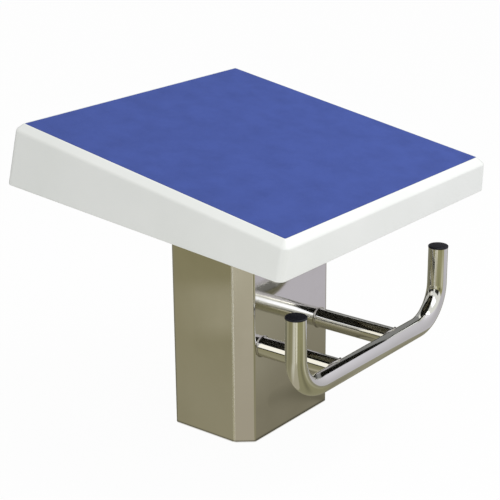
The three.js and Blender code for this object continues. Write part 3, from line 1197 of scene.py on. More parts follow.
@dataclass
class Column:
    """The folded and polished column, bored for the arms of the handle.

    Attributes:
        deck: The plane of the deck, which its top is parallel to.
        width: Its width.
        depth: Its depth from front to rear.
        chamfer_x: How much of its width each front chamfer takes.
        chamfer_y: How much of its depth each front chamfer takes.
        bend_radius: The outer radius of its bends.
        sheet: The sheet's thickness.
        top_depth: The depth of its top below the deck plane.
        edge_break: The bevel of its cut edges.
        bend_steps: How many stretches its bends have.
        rubbed_bends: Which bends were rubbed while the sheet was folded, as places in the row of corners,
            also painted lighter as a highlight.
        arm_spacing: From one arm's axis to the other's.
        arm_height: The height of the arms' axes.
        arm_hole_radius: The radius of the arms' holes.
        arm_hole_length: The length of the drills that cut them.
        hole_sides: How many sides the holes have.
    """

    deck: DeckPlane = field(default_factory=DeckPlane)
    width: float = 0.212
    depth: float = 0.135
    chamfer_x: float = 0.0195
    chamfer_y: float = 0.0235
    bend_radius: float = 0.005
    sheet: float = 0.0025
    top_depth: float = 0.0289
    edge_break: float = 0.0003
    bend_steps: int = 10
    rubbed_bends: tuple[int, ...] = (2, 5)
    arm_spacing: float = 0.137
    arm_height: float = 0.143
    arm_hole_radius: float = 0.01455
    arm_hole_length: float = 0.136
    hole_sides: int = 96

    @property
    def front(self) -> float:
        """The y of its front face."""
        return -self.depth / 2

    @property
    def corners(self) -> list[Place]:
        """The corners of its plan before they are bent.

        Returns:
            The corners, anticlockwise from the left end of the front face.
        """
        x, y = self.width / 2, self.depth / 2
        return [
            (-x + self.chamfer_x, -y), (x - self.chamfer_x, -y), (x, -y + self.chamfer_y),
            (x, y), (-x, y), (-x, -y + self.chamfer_y),
        ]

    def outline(self, inset: float) -> Ring:
        """Draws the plan at a distance inside the outer faces.

        Args:
            inset: The distance.

        Returns:
            The outline's points, with rounded bends.
        """
        corners = inset_outline([Vector(corner) for corner in self.corners], inset)
        return fillet(corners, self.bend_radius - min(inset, self.sheet), self.bend_steps)

    def top(self, y: float) -> float:
        """Returns the height of the sloping top at y."""
        slope = self.deck.slope
        return self.deck.axis_height - self.top_depth / math.cos(slope) + y * math.tan(slope)

    def skin(self) -> Sketch:
        """Draws the folded sheet, round the inside and the outside.

        Returns:
            The sketch, in which the rubbed bends have the second finish, whose lighter colour is a painted
            highlight.
        """
        def ring(inset: float, lift: float, at_top: bool) -> Ring:
            """Draws the plan at a distance from the top or the floor."""
            outline = self.outline(inset)
            return [Vector((spot.x, spot.y, self.top(spot.y) - lift if at_top else lift)) for spot in outline]

        sketch = Sketch()
        inner = self.sheet - self.edge_break
        sketch.loft([
            ring(self.edge_break, 0, False), ring(0, self.edge_break, False),
            ring(0, self.edge_break, True), ring(self.edge_break, 0, True),
            ring(inner, 0, True), ring(self.sheet, self.edge_break, True),
            ring(self.sheet, self.edge_break, False), ring(inner, 0, False),
        ], looped=True)
        steps = self.bend_steps
        around = len(self.corners) * (steps + 1)
        worn = {bend * (steps + 1) + step for bend in self.rubbed_bends for step in range(steps)}
        for number, face in enumerate(sketch.mesh.faces):
            face.material_index = int(number % around in worn)
        return sketch

    def build(self, steel: bpy.types.Material, rubbed_and_highlit: bpy.types.Material) -> None:
        """Builds the column and drills its holes.

        Args:
            steel: Its finish.
            rubbed_and_highlit: The finish of the rubbed bends: rougher, and lighter as a painted highlight.
        """
        piece = self.skin().finish("polished_column", [steel, rubbed_and_highlit])
        ends = [self.front + way * self.arm_hole_length / 2 for way in (-1, 1)]
        hole = circle(self.arm_hole_radius, self.hole_sides)
        for side in Side:
            x = side.value * self.arm_spacing / 2
            drill = Sketch()
            drill.loft([[Vector((x + spot.x, y, self.arm_height + spot.y)) for spot in hole] for y in ends])
            combine(piece, drill.finish("drill", [steel]), Merge.CUT)
        weigh_normals(piece)
        fit(piece, ["column_shell"])


@dataclass
class Handle:
    """The backstroke handle: a bent crossbar, two arms welded on, and two end plugs.

    Attributes:
        column: The column that it is welded to.
        tube_radius: The tubes' outer radius.
        tube_wall: The tubes' wall.
        reach: From the column's front face to the crossbar's axis.
        arm_inside: How far the arms reach into the column.
        cope_inset: The least distance from the crossbar's axis to the arms' ends.
        seat_gap: The gap between the arms, the plugs and the crossbar.
        weld_leg: The leg of the fillet weld at the column.
        weld_sink: How far that weld reaches into the face.
        bead_radius: The radius of the saddle weld at the crossbar.
        bead_reach: From the crossbar's axis to the saddle weld's.
        riser_spacing: From one riser's axis to the other's.
        riser_top: The height of the risers' ends.
        bend_radius: The radius of the crossbar's bends, on the tube's axis.
        plug_radius: The radius of the plugs' heads.
        plug_head: The height of the plugs' heads.
        plug_rounding: The rounding of the heads' edges.
        plug_crown: How far the heads rise to their middles.
        crown_shares: The rings of a head's crown, as shares of its flat radius.
        spigot_length: How far the plugs reach into the tube.
        spigot_taper: How much narrower the spigots' ends are.
        tube_sides: How many sides the tubes have.
        bend_steps: How many stretches the crossbar's bends have.
        weld_steps: How many stretches the fillet weld has.
        bead_sides: How many sides the saddle weld has.
        plug_steps: How many stretches the heads' rounding has.
    """

    column: Column = field(default_factory=Column)
    tube_radius: float = 0.01425
    tube_wall: float = 0.002
    reach: float = 0.136
    arm_inside: float = 0.012
    cope_inset: float = 0.004
    seat_gap: float = 0.0003
    weld_leg: float = 0.0028
    weld_sink: float = 0.0002
    bead_radius: float = 0.0017
    bead_reach: float = 0.0149
    riser_spacing: float = 0.348
    riser_top: float = 0.2522
    bend_radius: float = 0.055
    plug_radius: float = 0.0147
    plug_head: float = 0.003
    plug_rounding: float = 0.0012
    plug_crown: float = 0.0006
    crown_shares: tuple[float, ...] = (0.85, 0.6, 0.3, 0.06)
    spigot_length: float = 0.016
    spigot_taper: float = 0.001
    tube_sides: int = 96
    bend_steps: int = 40
    weld_steps: int = 8
    bead_sides: int = 16
    plug_steps: int = 8

    @property
    def bore(self) -> float:
        """The tubes' inner radius."""
        return self.tube_radius - self.tube_wall

    @property
    def axis_y(self) -> float:
        """The y of the crossbar's axis."""
        return self.column.front - self.reach

    def stations(self) -> list[tuple[Vector, Vector]]:
        """Finds the crossbar's run.

        Returns:
            Points and directions along it, from the left riser's top to the right one's.
        """
        bend_x = self.riser_spacing / 2 - self.bend_radius
        bend_z = self.column.arm_height + self.bend_radius

        def bend(side: Side, start: float) -> list[tuple[Vector, Vector]]:
            """Turns a quarter round one bend's centre.

            Args:
                side: The side that the bend is on.
                start: The angle that it starts from.

            Returns:
                Points and directions along the bend.
            """
            angles = (start + math.pi / 2 * step / self.bend_steps for step in range(self.bend_steps + 1))
            return [
                (
                    Vector((
                        side.value * bend_x + self.bend_radius * math.cos(angle), self.axis_y,
                        bend_z + self.bend_radius * math.sin(angle),
                    )),
                    Vector((-math.sin(angle), 0, math.cos(angle))),
                )
                for angle in angles
            ]

        def end(side: Side) -> tuple[Vector, Vector]:
            """Returns the top of one riser."""
            place = Vector((side.value * self.riser_spacing / 2, self.axis_y, self.riser_top))
            return place, Vector((0, 0, side.value))

        left, right = bend(Side.LEFT, math.pi), bend(Side.RIGHT, math.pi * 3 / 2)
        return [end(Side.LEFT), *left, *right, end(Side.RIGHT)]

    def crossbar(self, steel: bpy.types.Material) -> None:
        """Builds the bent tube.

        Args:
            steel: Its finish.
        """
        across = Vector((0, 1, 0))

        def ring(station: tuple[Vector, Vector], radius: float) -> Ring:
            """Draws a circle round the tube's axis.

            Args:
                station: A point on the axis and the axis's direction there.
                radius: The circle's radius.

            Returns:
                The circle's points.
            """
            point, along = station
            other = along.cross(across)
            return [point + across * spot.x + other * spot.y for spot in circle(radius, self.tube_sides)]

        stations = self.stations()
        outer = [ring(station, self.tube_radius) for station in stations]
        inner = [ring(station, self.bore) for station in reversed(stations)]
        sketch = Sketch()
        sketch.loft([*outer, *inner], looped=True)
        piece = sketch.finish("handle_crossbar_tube", [steel])
        fit(piece, ["handle_crossbar"])

    def arm_point(self, side: Side, spot: Vector, out: float) -> Vector:
        """Returns the point at a spot beside an arm's axis, so far out from the column's front face."""
        x = side.value * self.column.arm_spacing / 2
        return Vector((x + spot.x, self.column.front - out, self.column.arm_height + spot.y))

    def arm_rings(self, side: Side) -> list[Ring]:
        """Draws an arm with its fillet weld.

        Args:
            side: The side that it is on.

        Returns:
            Its rings, from the bore's inner end over the outside and back.
        """
        def ring(radius: float, out: float) -> Ring:
            """Draws a flat ring round the arm's axis."""
            return [self.arm_point(side, spot, out) for spot in circle(radius, self.tube_sides)]

        def coped(radius: float) -> Ring:
            """Draws a ring that follows the crossbar's round.

            Args:
                radius: Its radius about the arm's axis.

            Returns:
                The ring's points.
            """
            clear = self.tube_radius + self.seat_gap
            spots = circle(radius, self.tube_sides)
            insets = [max(math.sqrt(clear ** 2 - spot.y ** 2), self.cope_inset) for spot in spots]
            return [self.arm_point(side, spot, self.reach - inset) for spot, inset in zip(spots, insets)]

        toe = Vector((self.tube_radius + self.weld_leg, -self.weld_sink))
        root = Vector((self.tube_radius, 0))
        throat = Vector((self.tube_radius, self.weld_leg))
        shares = [step / self.weld_steps for step in range(self.weld_steps + 1)]
        weld = [toe.lerp(root, share).lerp(root.lerp(throat, share), share) for share in shares]
        return [
            ring(self.bore, -self.arm_inside), ring(self.tube_radius, -self.arm_inside),
            ring(self.tube_radius, -self.weld_sink), *(ring(spot.x, spot.y) for spot in weld),
            coped(self.tube_radius), coped(self.bore),
        ]

    def bead_rings(self, side: Side) -> list[Ring]:
        """Draws the saddle weld between an arm and the crossbar.

        Args:
            side: The side that it is on.

        Returns:
            Its rings, once round the arm.
        """
        centres = [
            self.arm_point(side, spot, self.reach - math.sqrt(self.bead_reach ** 2 - spot.y ** 2))
            for spot in circle(self.tube_radius, self.tube_sides)
        ]
        x, z = side.value * self.column.arm_spacing / 2, self.column.arm_height
        bead = circle(self.bead_radius, self.bead_sides)
        rings = []
        for i, centre in enumerate(centres):
            along = (centres[(i + 1) % len(centres)] - centres[i - 1]).normalized()
            outward = Vector((centre.x - x, 0, centre.z - z)).normalized()
            outward = (outward - along * outward.dot(along)).normalized()
            other = along.cross(outward)
            rings.append([centre + outward * spot.x + other * spot.y for spot in bead])
        return rings

    def arm(self, side: Side, steel: bpy.types.Material, weld: bpy.types.Material) -> None:
        """Builds one arm, with its fillet weld at the column and its saddle weld at the crossbar.

        Args:
            side: The side that it is on.
            steel: Its finish.
            weld: Its welds' finish, darkened as painted shade at the joints.
        """
        arm_rings, bead_rings = self.arm_rings(side), self.bead_rings(side)
        sketch = Sketch()
        sketch.loft(arm_rings, looped=True, slots=[0, 0, *[1] * (self.weld_steps + 1), 0, 0, 0])
        sketch.loft(bead_rings, looped=True, slots=[1] * len(bead_rings))
        piece = sketch.finish(f"handle_arm_tube_{side.name.lower()}", [steel, weld])
        fit(piece, [f"handle_arm_{side.name.lower()}"])

    def plug(self, side: Side, plastic: bpy.types.Material) -> None:
        """Builds one end plug.

        Args:
            side: The side that it is on.
            plastic: Its finish.
        """
        spigot = self.bore - self.seat_gap
        shoulder = self.plug_head - self.plug_rounding - self.plug_crown
        arc = quarter_arc(self.plug_rounding, self.plug_steps)
        rounding = [(self.plug_radius - inset, shoulder + rise) for inset, rise in arc]
        flat_radius, flat_height = rounding[-1]
        crown = [
            (flat_radius * share, flat_height + self.plug_crown * (1 - share ** 2))
            for share in self.crown_shares
        ]
        profile = [
            (spigot - self.spigot_taper, -self.spigot_length), (spigot, -self.spigot_length / 2), (spigot, 0),
            (self.plug_radius, 0), *rounding, *crown,
        ]
        sketch = Sketch()
        sketch.loft(turned(profile, self.tube_sides))
        piece = sketch.finish(f"riser_plug_{side.name.lower()}", [plastic])
        seat = (side.value * self.riser_spacing / 2, self.axis_y, self.riser_top + self.seat_gap)
        piece.data.transform(Matrix.Translation(seat))
        fit(piece, [f"end_plug_{side.name.lower()}"])


class Stock(Enum):
    """What the pieces under the deck and in the column are made of."""

    PLYWOOD = "plywood"
    MILL = "mill"
    FASTENER = "fastener"
    ZINC = "zinc"


@dataclass
class HiddenHardware:
    """The pieces under the deck and in the column, which keep their CAD shapes.

    Attributes:
        nodes: The CAD nodes of each stock.
    """

    nodes: dict[Stock, tuple[str, ...]] = field(default_factory=lambda: {
        Stock.PLYWOOD: ("core_board",),
        Stock.MILL: (
            "top_flange", "base_plate", "handle_channel",
            "gusset_left", "gusset_right", "gusset_front", "gusset_rear",
        ),
        Stock.FASTENER: tuple(f"flange_{kind}_{i}" for kind in ("bolt", "washer") for i in range(1, 5)),
        Stock.ZINC: tuple(f"threaded_insert_{i}" for i in range(1, 5)),
    })

    def dress(self, frame: dict, finishes: dict[Stock, bpy.types.Material]) -> None:
        """Gives each node its finish.

        Args:
            frame: The loaded CAD frame.
            finishes: The material of each stock.
        """
        for stock, names in self.nodes.items():
            for name in names:
                piece = frame["nodes"][name]
                piece.data.materials.clear()
                piece.data.materials.append(finishes[stock])
                log.info("%s: dressed as %s", name, stock.value)


# Studio


@dataclass(frozen=True)
class Card:
    """A flat card that only shiny surfaces see.

    Attributes:
        name: The card's name.
    """

    name: str

    def outline(self, lift: float) -> list[Axes]:
        """Returns its corners, raised by a lift."""
        raise NotImplementedError

    def light(self, shader: Shader) -> Socket:
        """Returns its surface."""
        raise NotImplementedError

    def build(self, lift: float = 0.0) -> None:
        """Builds the card.

        Args:
            lift: How far it is raised, so that later cards lie over earlier ones.
        """
        sketch = Sketch()
        sketch.face(sketch.ring(Vector(corner) for corner in self.outline(lift)))
        shader = Shader(self.name)
        card = sketch.finish(self.name, [shader.material])
        shader.show(self.light(shader))
        shader.material.cycles.emission_sampling = "NONE"
        card.visible_camera = False
        card.visible_diffuse = False
        card.visible_transmission = False
        card.visible_shadow = False


@dataclass(frozen=True)
class Fan:
    """A part of the floor that fans out from the column, between two directions.

    Attributes:
        first_corner: Where its first side starts.
        first_angle: The direction of its first side, in degrees from +X towards +Y.
        last_corner: Where its last side starts.
        last_angle: The direction of its last side.
        inner: The distance from the corners where it starts.
        outer: The distance from the corners where it ends.
        side_turn: How many degrees each stretch of its outer edge turns by.
    """

    first_corner: Place
    first_angle: float
    last_corner: Place
    last_angle: float
    inner: float = 0.001
    outer: float = 2.2
    side_turn: float = 8.0

    def outline(self, lift: float) -> list[Axes]:
        """Draws the fan.

        Args:
            lift: Its height above the floor.

        Returns:
            Its corners.
        """
        steps = max(2, round(abs(self.last_angle - self.first_angle) / self.side_turn))

        def at(share: float, radius: float) -> Axes:
            """Finds a point between the two sides.

            Args:
                share: The share of the way from the first side to the last.
                radius: How far out it lies.

            Returns:
                The point.
            """
            angle = math.radians(self.first_angle + (self.last_angle - self.first_angle) * share)
            x = self.first_corner[0] + (self.last_corner[0] - self.first_corner[0]) * share
            y = self.first_corner[1] + (self.last_corner[1] - self.first_corner[1]) * share
            return x + radius * math.cos(angle), y + radius * math.sin(angle), lift

        shares = [step / steps for step in range(steps + 1)]
        return [
            *(at(share, self.outer) for share in shares),
            *(at(share, self.inner) for share in reversed(shares)),
        ]


@dataclass(frozen=True)
class Mat(Card):
    """A mat on the floor, whose light changes away from the axis and falls close to the column's foot.

    Attributes:
        first: Its light near the axis.
        last: Its light far away.
        foot: The sides of the foot that shades it, each an outward normal and its distance from the axis.
        fan: The part of the floor that it covers, or None for all of it.
        start: The distance from the axis where its light starts to change.
        end: The distance from the axis where its light has changed.
        radius: Its radius, where it covers all of the floor.
        sides: How many sides it then has.
        foot_gap: How far from the foot its shade reaches.
        foot_light: The share of the light that is left at the foot.
    """

    first: Colour
    last: Colour
    foot: tuple[tuple[Axes, float], ...]
    fan: Fan | None = None
    start: float = 0.2
    end: float = 1.1
    radius: float = 2.2
    sides: int = 48
    foot_gap: float = 0.0045
    foot_light: float = 0.25

    def outline(self, lift: float) -> list[Axes]:
        """Draws the mat.

        Args:
            lift: Its height above the floor.

        Returns:
            Its corners.
        """
        if self.fan:
            return self.fan.outline(lift)
        return [(spot.x, spot.y, lift) for spot in circle(self.radius, self.sides)]

    def light(self, shader: Shader) -> Socket:
        """Mixes its light.

        Args:
            shader: Its material's nodes.

        Returns:
            Its surface.
        """
        travel = shader.vector_maths(VectorMaths.LENGTH, shader.place)
        tint = shader.mixed(shader.ramp(travel, self.start, self.end), self.first, self.last)
        gaps = [
            shader.maths(Maths.SUM, shader.vector_maths(VectorMaths.DOT, shader.place, normal), -distance)
            for normal, distance in self.foot
        ]
        gap = gaps[0]
        for other in gaps[1:]:
            gap = shader.maths(Maths.LARGER, gap, other)
        return shader.glow(tint, shader.ramp(gap, 0.0, self.foot_gap, to_low=self.foot_light))


@dataclass(frozen=True)
class Streak(Card):
    """A soft-edged card on the floor that fans out from a corner of the column.

    Attributes:
        tint: Its light.
        corner: Where it fans out from.
        angle: The direction of its middle, in degrees from +X towards +Y.
        spread: The angle from its middle to its sides, in degrees.
        near: The distance ahead of the corner where it starts.
        far: The distance ahead of the corner where it ends.
        strength: How strongly it covers the floor along its middle.
        soft_share: How much of its length fades in, and out again.
        least_radius: The least distance from the corner to its outline.
    """

    tint: Colour
    corner: Place
    angle: float
    spread: float
    near: float
    far: float
    strength: float
    soft_share: float = 0.25
    least_radius: float = 0.001

    def outline(self, lift: float) -> list[Axes]:
        """Draws the streak.

        Args:
            lift: Its height above the floor.

        Returns:
            Its corners.
        """
        first, last = self.angle - self.spread, self.angle + self.spread
        inner = max(self.near, self.least_radius)
        return Fan(self.corner, first, self.corner, last, inner, self.far).outline(lift)

    def light(self, shader: Shader) -> Socket:
        """Mixes its light, which lets the floor show at its edges.

        Args:
            shader: Its material's nodes.

        Returns:
            Its surface.
        """
        middle = math.radians(self.angle)
        away = shader.vector_maths(VectorMaths.DIFFERENCE, shader.place, (*self.corner, 0.0))
        ahead = shader.vector_maths(VectorMaths.DOT, away, (math.cos(middle), math.sin(middle), 0.0))
        aside = shader.vector_maths(VectorMaths.DOT, away, (-math.sin(middle), math.cos(middle), 0.0))
        turn = shader.maths(Maths.SIZE, shader.maths(Maths.DIRECTION, aside, ahead))
        soft = (self.far - self.near) * self.soft_share
        cover = shader.ramp(turn, 0.0, math.radians(self.spread), self.strength, 0.0, Run.SOFT)
        for fade in (
            shader.ramp(ahead, self.near, self.near + soft),
            shader.ramp(ahead, self.far - soft, self.far, to_low=1.0, to_high=0.0),
        ):
            cover = shader.maths(Maths.PRODUCT, cover, fade)
        clear = shader.node("ShaderNodeBsdfTransparent").outputs[0]
        return shader.blend(cover, clear, shader.glow(self.tint))


@dataclass(frozen=True)
class Wall(Card):
    """An upright card, whose light changes upwards.

    Attributes:
        start: Where it starts on the floor.
        end: Where it ends on the floor.
        bottom: The height of its lower edge.
        top: The height of its upper edge.
        first: Its light low down.
        last: Its light high up.
        fade_bottom: The height where its light starts to change.
        fade_top: The height where its light has changed.
    """

    start: Place
    end: Place
    bottom: float
    top: float
    first: Colour
    last: Colour
    fade_bottom: float = 0.1
    fade_top: float = 0.5

    def outline(self, lift: float) -> list[Axes]:
        """Returns its corners, raised by a lift."""
        low, high = self.bottom + lift, self.top + lift
        return [(*self.start, low), (*self.end, low), (*self.end, high), (*self.start, high)]

    def light(self, shader: Shader) -> Socket:
        """Mixes its light.

        Args:
            shader: Its material's nodes.

        Returns:
            Its surface.
        """
        height = shader.node("ShaderNodeSeparateXYZ", {0: shader.place}).outputs["Z"]
        share = shader.ramp(height, self.fade_bottom, self.fade_top)
        return shader.glow(shader.mixed(share, self.first, self.last))


@dataclass
class Room:
    """The room that the polished steel reflects, as cards on the floor and round the block.

    Attributes:
        column: The column, whose corners the floor's cards fan out from.
        lowest: The height of the lowest card on the floor.
        step: From one of those cards to the next one above it.
        rear: The y of the rear wall.
        side: The distance of the side walls from the axis.
        horizon: The height of the dark horizons.
        ceiling: The height of the grey walls.
        white: The light of the bright streaks.
        shade: The light of the shaded places on the floor.
        dark: The light of the horizons.
        dim: The light of the right wall.
        grey: The light of the rear wall.
    """

    column: Column = field(default_factory=Column)
    lowest: float = 0.0015
    step: float = 0.0002
    rear: float = 1.6
    side: float = 1.9
    horizon: float = 0.34
    ceiling: float = 1.9
    white: Colour = (1.0, 0.98, 0.92)
    shade: Colour = (0.10, 0.095, 0.06)
    dark: Colour = (0.03, 0.03, 0.025)
    dim: Colour = (0.29, 0.29, 0.295)
    grey: Colour = (0.48, 0.48, 0.49)

    @property
    def foot(self) -> tuple[tuple[Axes, float], ...]:
        """The sides of the column's plan.

        Returns:
            For each side its outward normal and its distance from the axis.
        """
        corners = [Vector(corner) for corner in self.column.corners]
        sides = []
        for start, end in zip(corners, corners[1:] + corners[:1]):
            along = (end - start).normalized()
            normal = Vector((along.y, -along.x))
            sides.append(((normal.x, normal.y, 0.0), normal.dot(start)))
        return tuple(sides)

    def mats(self) -> list[Card]:
        """Lays out the mats: a round one under all, and fans at the chamfer, front, right and rear.

        Returns:
            The mats, from the lowest up.
        """
        front_left, _, right_front, _, rear_left, left_front = self.column.corners
        far_corner = (right_front[0], self.column.front)
        foot = self.foot
        return [
            Mat("left_mat", (0.37, 0.345, 0.235), (0.31, 0.285, 0.155), foot),
            Mat(
                "near_mat", (0.50, 0.46, 0.365), (0.64, 0.61, 0.47), foot,
                Fan(left_front, 200.0, front_left, 233.0),
            ),
            Mat(
                "front_mat", (0.34, 0.32, 0.21), (0.40, 0.38, 0.20), foot,
                Fan(front_left, 233.0, front_left, 303.0),
            ),
            Mat(
                "right_mat", (0.285, 0.265, 0.195), (0.45, 0.435, 0.35), foot,
                Fan(front_left, 303.0, front_left, 372.0),
            ),
            Mat(
                "rear_mat", (0.20, 0.19, 0.13), (0.34, 0.33, 0.26), foot,
                Fan(rear_left, 138.0, far_corner, -12.0),
            ),
        ]

    def streaks(self) -> list[Card]:
        """Lays out the soft lights and shades on the floor.

        Returns:
            The streaks, from the lowest up.
        """
        front_left, *_, left_front = self.column.corners
        foot_corner = (0.08, -0.06)
        rows = (
            ("fold_streak", self.white, left_front, 204.0, 16.0, (0.08, 1.3), 0.4),
            ("fold_glow", self.white, left_front, 214.5, 5.5, (0.08, 1.3), 0.6),
            ("chamfer_light", (0.85, 0.82, 0.70), left_front, 218.5, 5.0, (0.5, 1.1), 0.25),
            ("riser_streak", (1.25, 1.21, 1.08), front_left, 227.5, 5.0, (0.5, 1.0), 1.0),
            ("left_light", (0.50, 0.47, 0.34), left_front, 141.0, 15.0, (0.36, 0.67), 0.75),
            ("front_light", (0.44, 0.42, 0.32), front_left, 320.0, 14.0, (0.1, 0.75), 0.5),
            ("front_streak", (0.75, 0.72, 0.6), front_left, 291.0, 16.0, (0.3, 0.95), 0.8),
            ("front_shade", self.shade, front_left, 262.0, 15.0, (0.1, 0.7), 0.45),
            ("far_shade", self.shade, front_left, 262.0, 18.0, (0.75, 1.5), 1.0),
            ("left_shade", self.shade, left_front, 166.0, 24.0, (0.0, 0.8), 0.2),
            ("foot_shade", self.shade, foot_corner, 280.0, 80.0, (-0.05, 0.09), 0.45),
        )
        return [
            Streak(name, tint, corner, angle, spread, near, far, strength)
            for name, tint, corner, angle, spread, (near, far), strength in rows
        ]

    def walls(self) -> list[Card]:
        """Lays out the walls, horizons and skies.

        Returns:
            The upright cards.
        """
        rear, side, dark = self.rear, self.side, self.dark
        left_sky, front_sky = (1.35, 1.30, 1.22), (2.3, 2.35, 2.7)
        front_ends = (-1.72, -0.80), (-0.65, -1.79)
        return [
            Wall(
                "wall_card", (0.36, -1.6), (0.36, -0.24), 0.002, 1.4,
                (0.65, 0.63, 0.70), (0.96, 0.935, 1.06), fade_top=0.7,
            ),
            Wall("rear_horizon", (0.0, rear), (-rear, rear), 0.0, self.horizon, dark, dark),
            Wall("left_horizon", (-side, rear), (-side, -0.1), 0.0, self.horizon, dark, dark),
            Wall("front_horizon", *front_ends, 0.0, 0.4, dark, dark),
            Wall("rear_wall", (side, rear), (0.0, rear), 0.0, self.ceiling, dark, self.grey),
            Wall("right_wall", (side, rear), (side, -0.3), 0.0, self.ceiling, dark, self.dim),
            Wall("left_sky", (-2.1, 0.8), (-0.7, 2.0), 0.36, 2.7, left_sky, left_sky),
            Wall("front_sky", *front_ends, 0.95, 2.3, front_sky, front_sky),
        ]

    def build(self) -> None:
        """Builds all the cards."""
        for number, card in enumerate([*self.mats(), *self.streaks()]):
            card.build(self.lowest + self.step * number)
        for wall in self.walls():
            wall.build()


@dataclass(frozen=True)
class Backdrop:
    """The pale floor and the white world.

    Attributes:
        floor_radius: The floor's radius.
        floor_sides: How many sides the floor has.
        floor_albedo: How much light the floor gives back.
        floor_glow: How white the floor shows, from 0 for its own grey to 1 for white.
        sky: The strength with which the world lights the block. It shows with a strength of 1.
    """

    floor_radius: float = 14.0
    floor_sides: int = 96
    floor_albedo: float = 0.8
    floor_glow: float = 0.96
    sky: float = 0.80

    def floor(self) -> None:
        """Builds the floor, which keeps a soft shadow."""
        outline = circle(self.floor_radius, self.floor_sides)
        sketch = Sketch()
        sketch.face(sketch.ring(Vector((spot.x, spot.y, 0)) for spot in outline))
        piece = sketch.finish("studio_floor")
        shader = Shader("studio floor")
        matte = shader.node("ShaderNodeBsdfDiffuse", {"Color": opaque((self.floor_albedo,) * 3)}).outputs[0]
        share = shader.maths(Maths.PRODUCT, shader.eye_rays(), self.floor_glow)
        piece.data.materials.append(shader.show(shader.blend(share, matte, shader.glow(WHITE))))
        shader.material.cycles.emission_sampling = "NONE"

    def world(self) -> None:
        """Sets a white world that lights the block a little less than it shows."""
        world = bpy.data.worlds.new("white studio")
        world.use_nodes = True
        nodes = NodeTree(world.node_tree)
        strength = nodes.ramp(nodes.eye_rays(), 0.0, 1.0, to_low=self.sky, to_high=1.0)
        background = nodes.node("ShaderNodeBackground", {"Color": opaque(WHITE), "Strength": strength})
        nodes.node("ShaderNodeOutputWorld", {"Surface": background.outputs[0]})
        bpy.context.scene.world = world

    def build(self) -> None:
        """Builds the floor and the world."""
        self.floor()
        self.world()


@dataclass(frozen=True)
class Lamp:
    """A square soft lamp that faces the platform.

    Attributes:
        name: The lamp's name.
        place: Where it stands.
        size: The length of its sides.
        power: Its power in watts.
        mirrored: Whether shiny surfaces show it.
        target: The point that it faces.
    """

    name: str
    place: Axes
    size: float
    power: float
    mirrored: bool = True
    target: Axes = (0.0, 0.0, 0.4)

    def build(self) -> None:
        """Builds the lamp."""
        data = bpy.data.lights.new(self.name, "AREA")
        data.energy = self.power
        data.size = self.size
        lamp = bpy.data.objects.new(self.name, data)
        lamp.location = self.place
        lamp.rotation_mode = "QUATERNION"
        lamp.rotation_quaternion = (Vector(self.place) - Vector(self.target)).to_track_quat("Z", "Y")
        lamp.visible_glossy = self.mirrored
        bpy.context.scene.collection.objects.link(lamp)


@dataclass(frozen=True)
class Camera:
    """The camera, placed where the photograph was taken from.

    Attributes:
        azimuth: The direction that it stands in, from -Y towards +X.
        elevation: How far above the level it stands.
        roll: How far it is turned about its own axis.
        distance: Its distance from its aim.
        shift_right: How far it is moved to its right.
        shift_up: How far it is moved upwards.
        aim: The point that it faces before it is moved.
        focal_length: Its focal length in millimetres.
        sensor: Its sensor's width in millimetres.
    """

    azimuth: float = math.radians(-51.58)
    elevation: float = math.radians(19.12)
    roll: float = math.radians(-0.52)
    distance: float = 2.00077
    shift_right: float = -0.00117
    shift_up: float = 0.002
    aim: Axes = (0.0, 0.0065, 0.25)
    focal_length: float = 99.27
    sensor: float = 36.0

    def build(self) -> None:
        """Builds the camera and makes it the scene's."""
        back = Vector((
            math.sin(self.azimuth) * math.cos(self.elevation),
            -math.cos(self.azimuth) * math.cos(self.elevation),
            math.sin(self.elevation),
        ))
        right = Vector((math.cos(self.azimuth), math.sin(self.azimuth), 0))
        up = back.cross(right)
        place = Vector(self.aim) + back * self.distance + right * self.shift_right + up * self.shift_up
        level_right = right * math.cos(self.roll) + up * math.sin(self.roll)
        level_up = up * math.cos(self.roll) - right * math.sin(self.roll)
        data = bpy.data.cameras.new("camera")
        data.lens = self.focal_length
        data.sensor_width = self.sensor
        data.sensor_fit = "HORIZONTAL"
        camera = bpy.data.objects.new("camera", data)
        camera.matrix_world = Matrix((level_right, level_up, back)).transposed().to_4x4()
        camera.matrix_world.translation = place
        bpy.context.scene.collection.objects.link(camera)
        bpy.context.scene.camera = camera


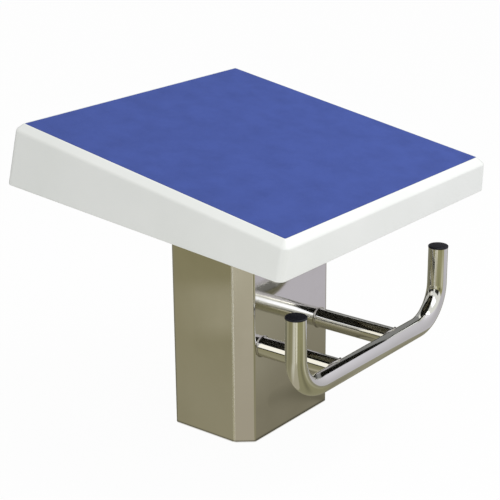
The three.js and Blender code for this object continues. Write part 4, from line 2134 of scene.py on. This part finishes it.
@dataclass
class Studio:
    """Everything round the block: backdrop, lamps, reflected room and camera.

    Attributes:
        column: The column, which the room is laid out round.
        backdrop: The floor and the world.
        lamps: The lamps.
        camera: The camera.
    """

    column: Column = field(default_factory=Column)
    backdrop: Backdrop = Backdrop()
    lamps: tuple[Lamp, ...] = (
        Lamp("soft key", (0.60, -0.75, 1.70), size=1.1, power=13.0),
        Lamp("corner fill", (-0.80, -0.79, 0.58), size=0.35, power=1.35, mirrored=False),
    )
    camera: Camera = Camera()

    def build(self) -> None:
        """Builds the studio."""
        for part in (self.backdrop, *self.lamps, Room(self.column), self.camera):
            part.build()
        bpy.context.scene.view_settings.view_transform = "Standard"


# The block


def main() -> None:
    """Builds the block round its CAD frame."""
    logging.basicConfig(level=logging.INFO, format="%(message)s")
    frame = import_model()
    column = Column()
    Studio(column).build()
    gel_coat = GelCoat().material()
    laminate = Laminate().material()
    polished = Stainless("polished sheet").material()
    # The rubbed bends' finish is rougher than the sheet's, and much lighter as a painted highlight along the
    # folds.
    rubbed_and_highlit = Stainless("rubbed bend with painted highlight", (0.90, 0.89, 0.85), (0.86, 0.85, 0.80), roughness=0.32).material()
    tube = Stainless(
        "polished tube", (0.69, 0.69, 0.64), (0.63, 0.63, 0.57),
        roughness=0.07, waviness=0.00004, line_depth=0.0000004,
    ).material()
    # The welds' metal is much darker than the tube's: painted shade where the arms meet the column and the
    # crossbar.
    weld = Stainless("weld bead with painted shade", (0.40, 0.385, 0.35), (0.33, 0.315, 0.28), roughness=0.16).material()
    hidden = {
        Stock.PLYWOOD: Plywood(),
        # The mill steel is darker than the polished sheet: a duller finish, and partly painted shade for the
        # hollow under the platform.
        Stock.MILL: Stainless("mill stainless", (0.42, 0.415, 0.405), (0.36, 0.355, 0.345), roughness=0.34),
        Stock.FASTENER: Stainless("fastener steel", (0.56, 0.56, 0.56), (0.48, 0.48, 0.48), roughness=0.28),
        Stock.ZINC: Stainless("zinc plate", (0.50, 0.52, 0.55), (0.42, 0.44, 0.46), roughness=0.38),
    }
    platform = Platform()
    platform.shell(gel_coat, laminate)
    platform.ribs(laminate)
    NonSlipLayer(platform).build(NonSlipBlue().material())
    column.build(polished, rubbed_and_highlit)
    handle = Handle(column)
    handle.crossbar(tube)
    plastic = BlackPlastic().material()
    for side in Side:
        handle.arm(side, tube, weld)
        handle.plug(side, plastic)
    HiddenHardware().dress(frame, {stock: finish.material() for stock, finish in hidden.items()})


if __name__ == "__main__":
    main()
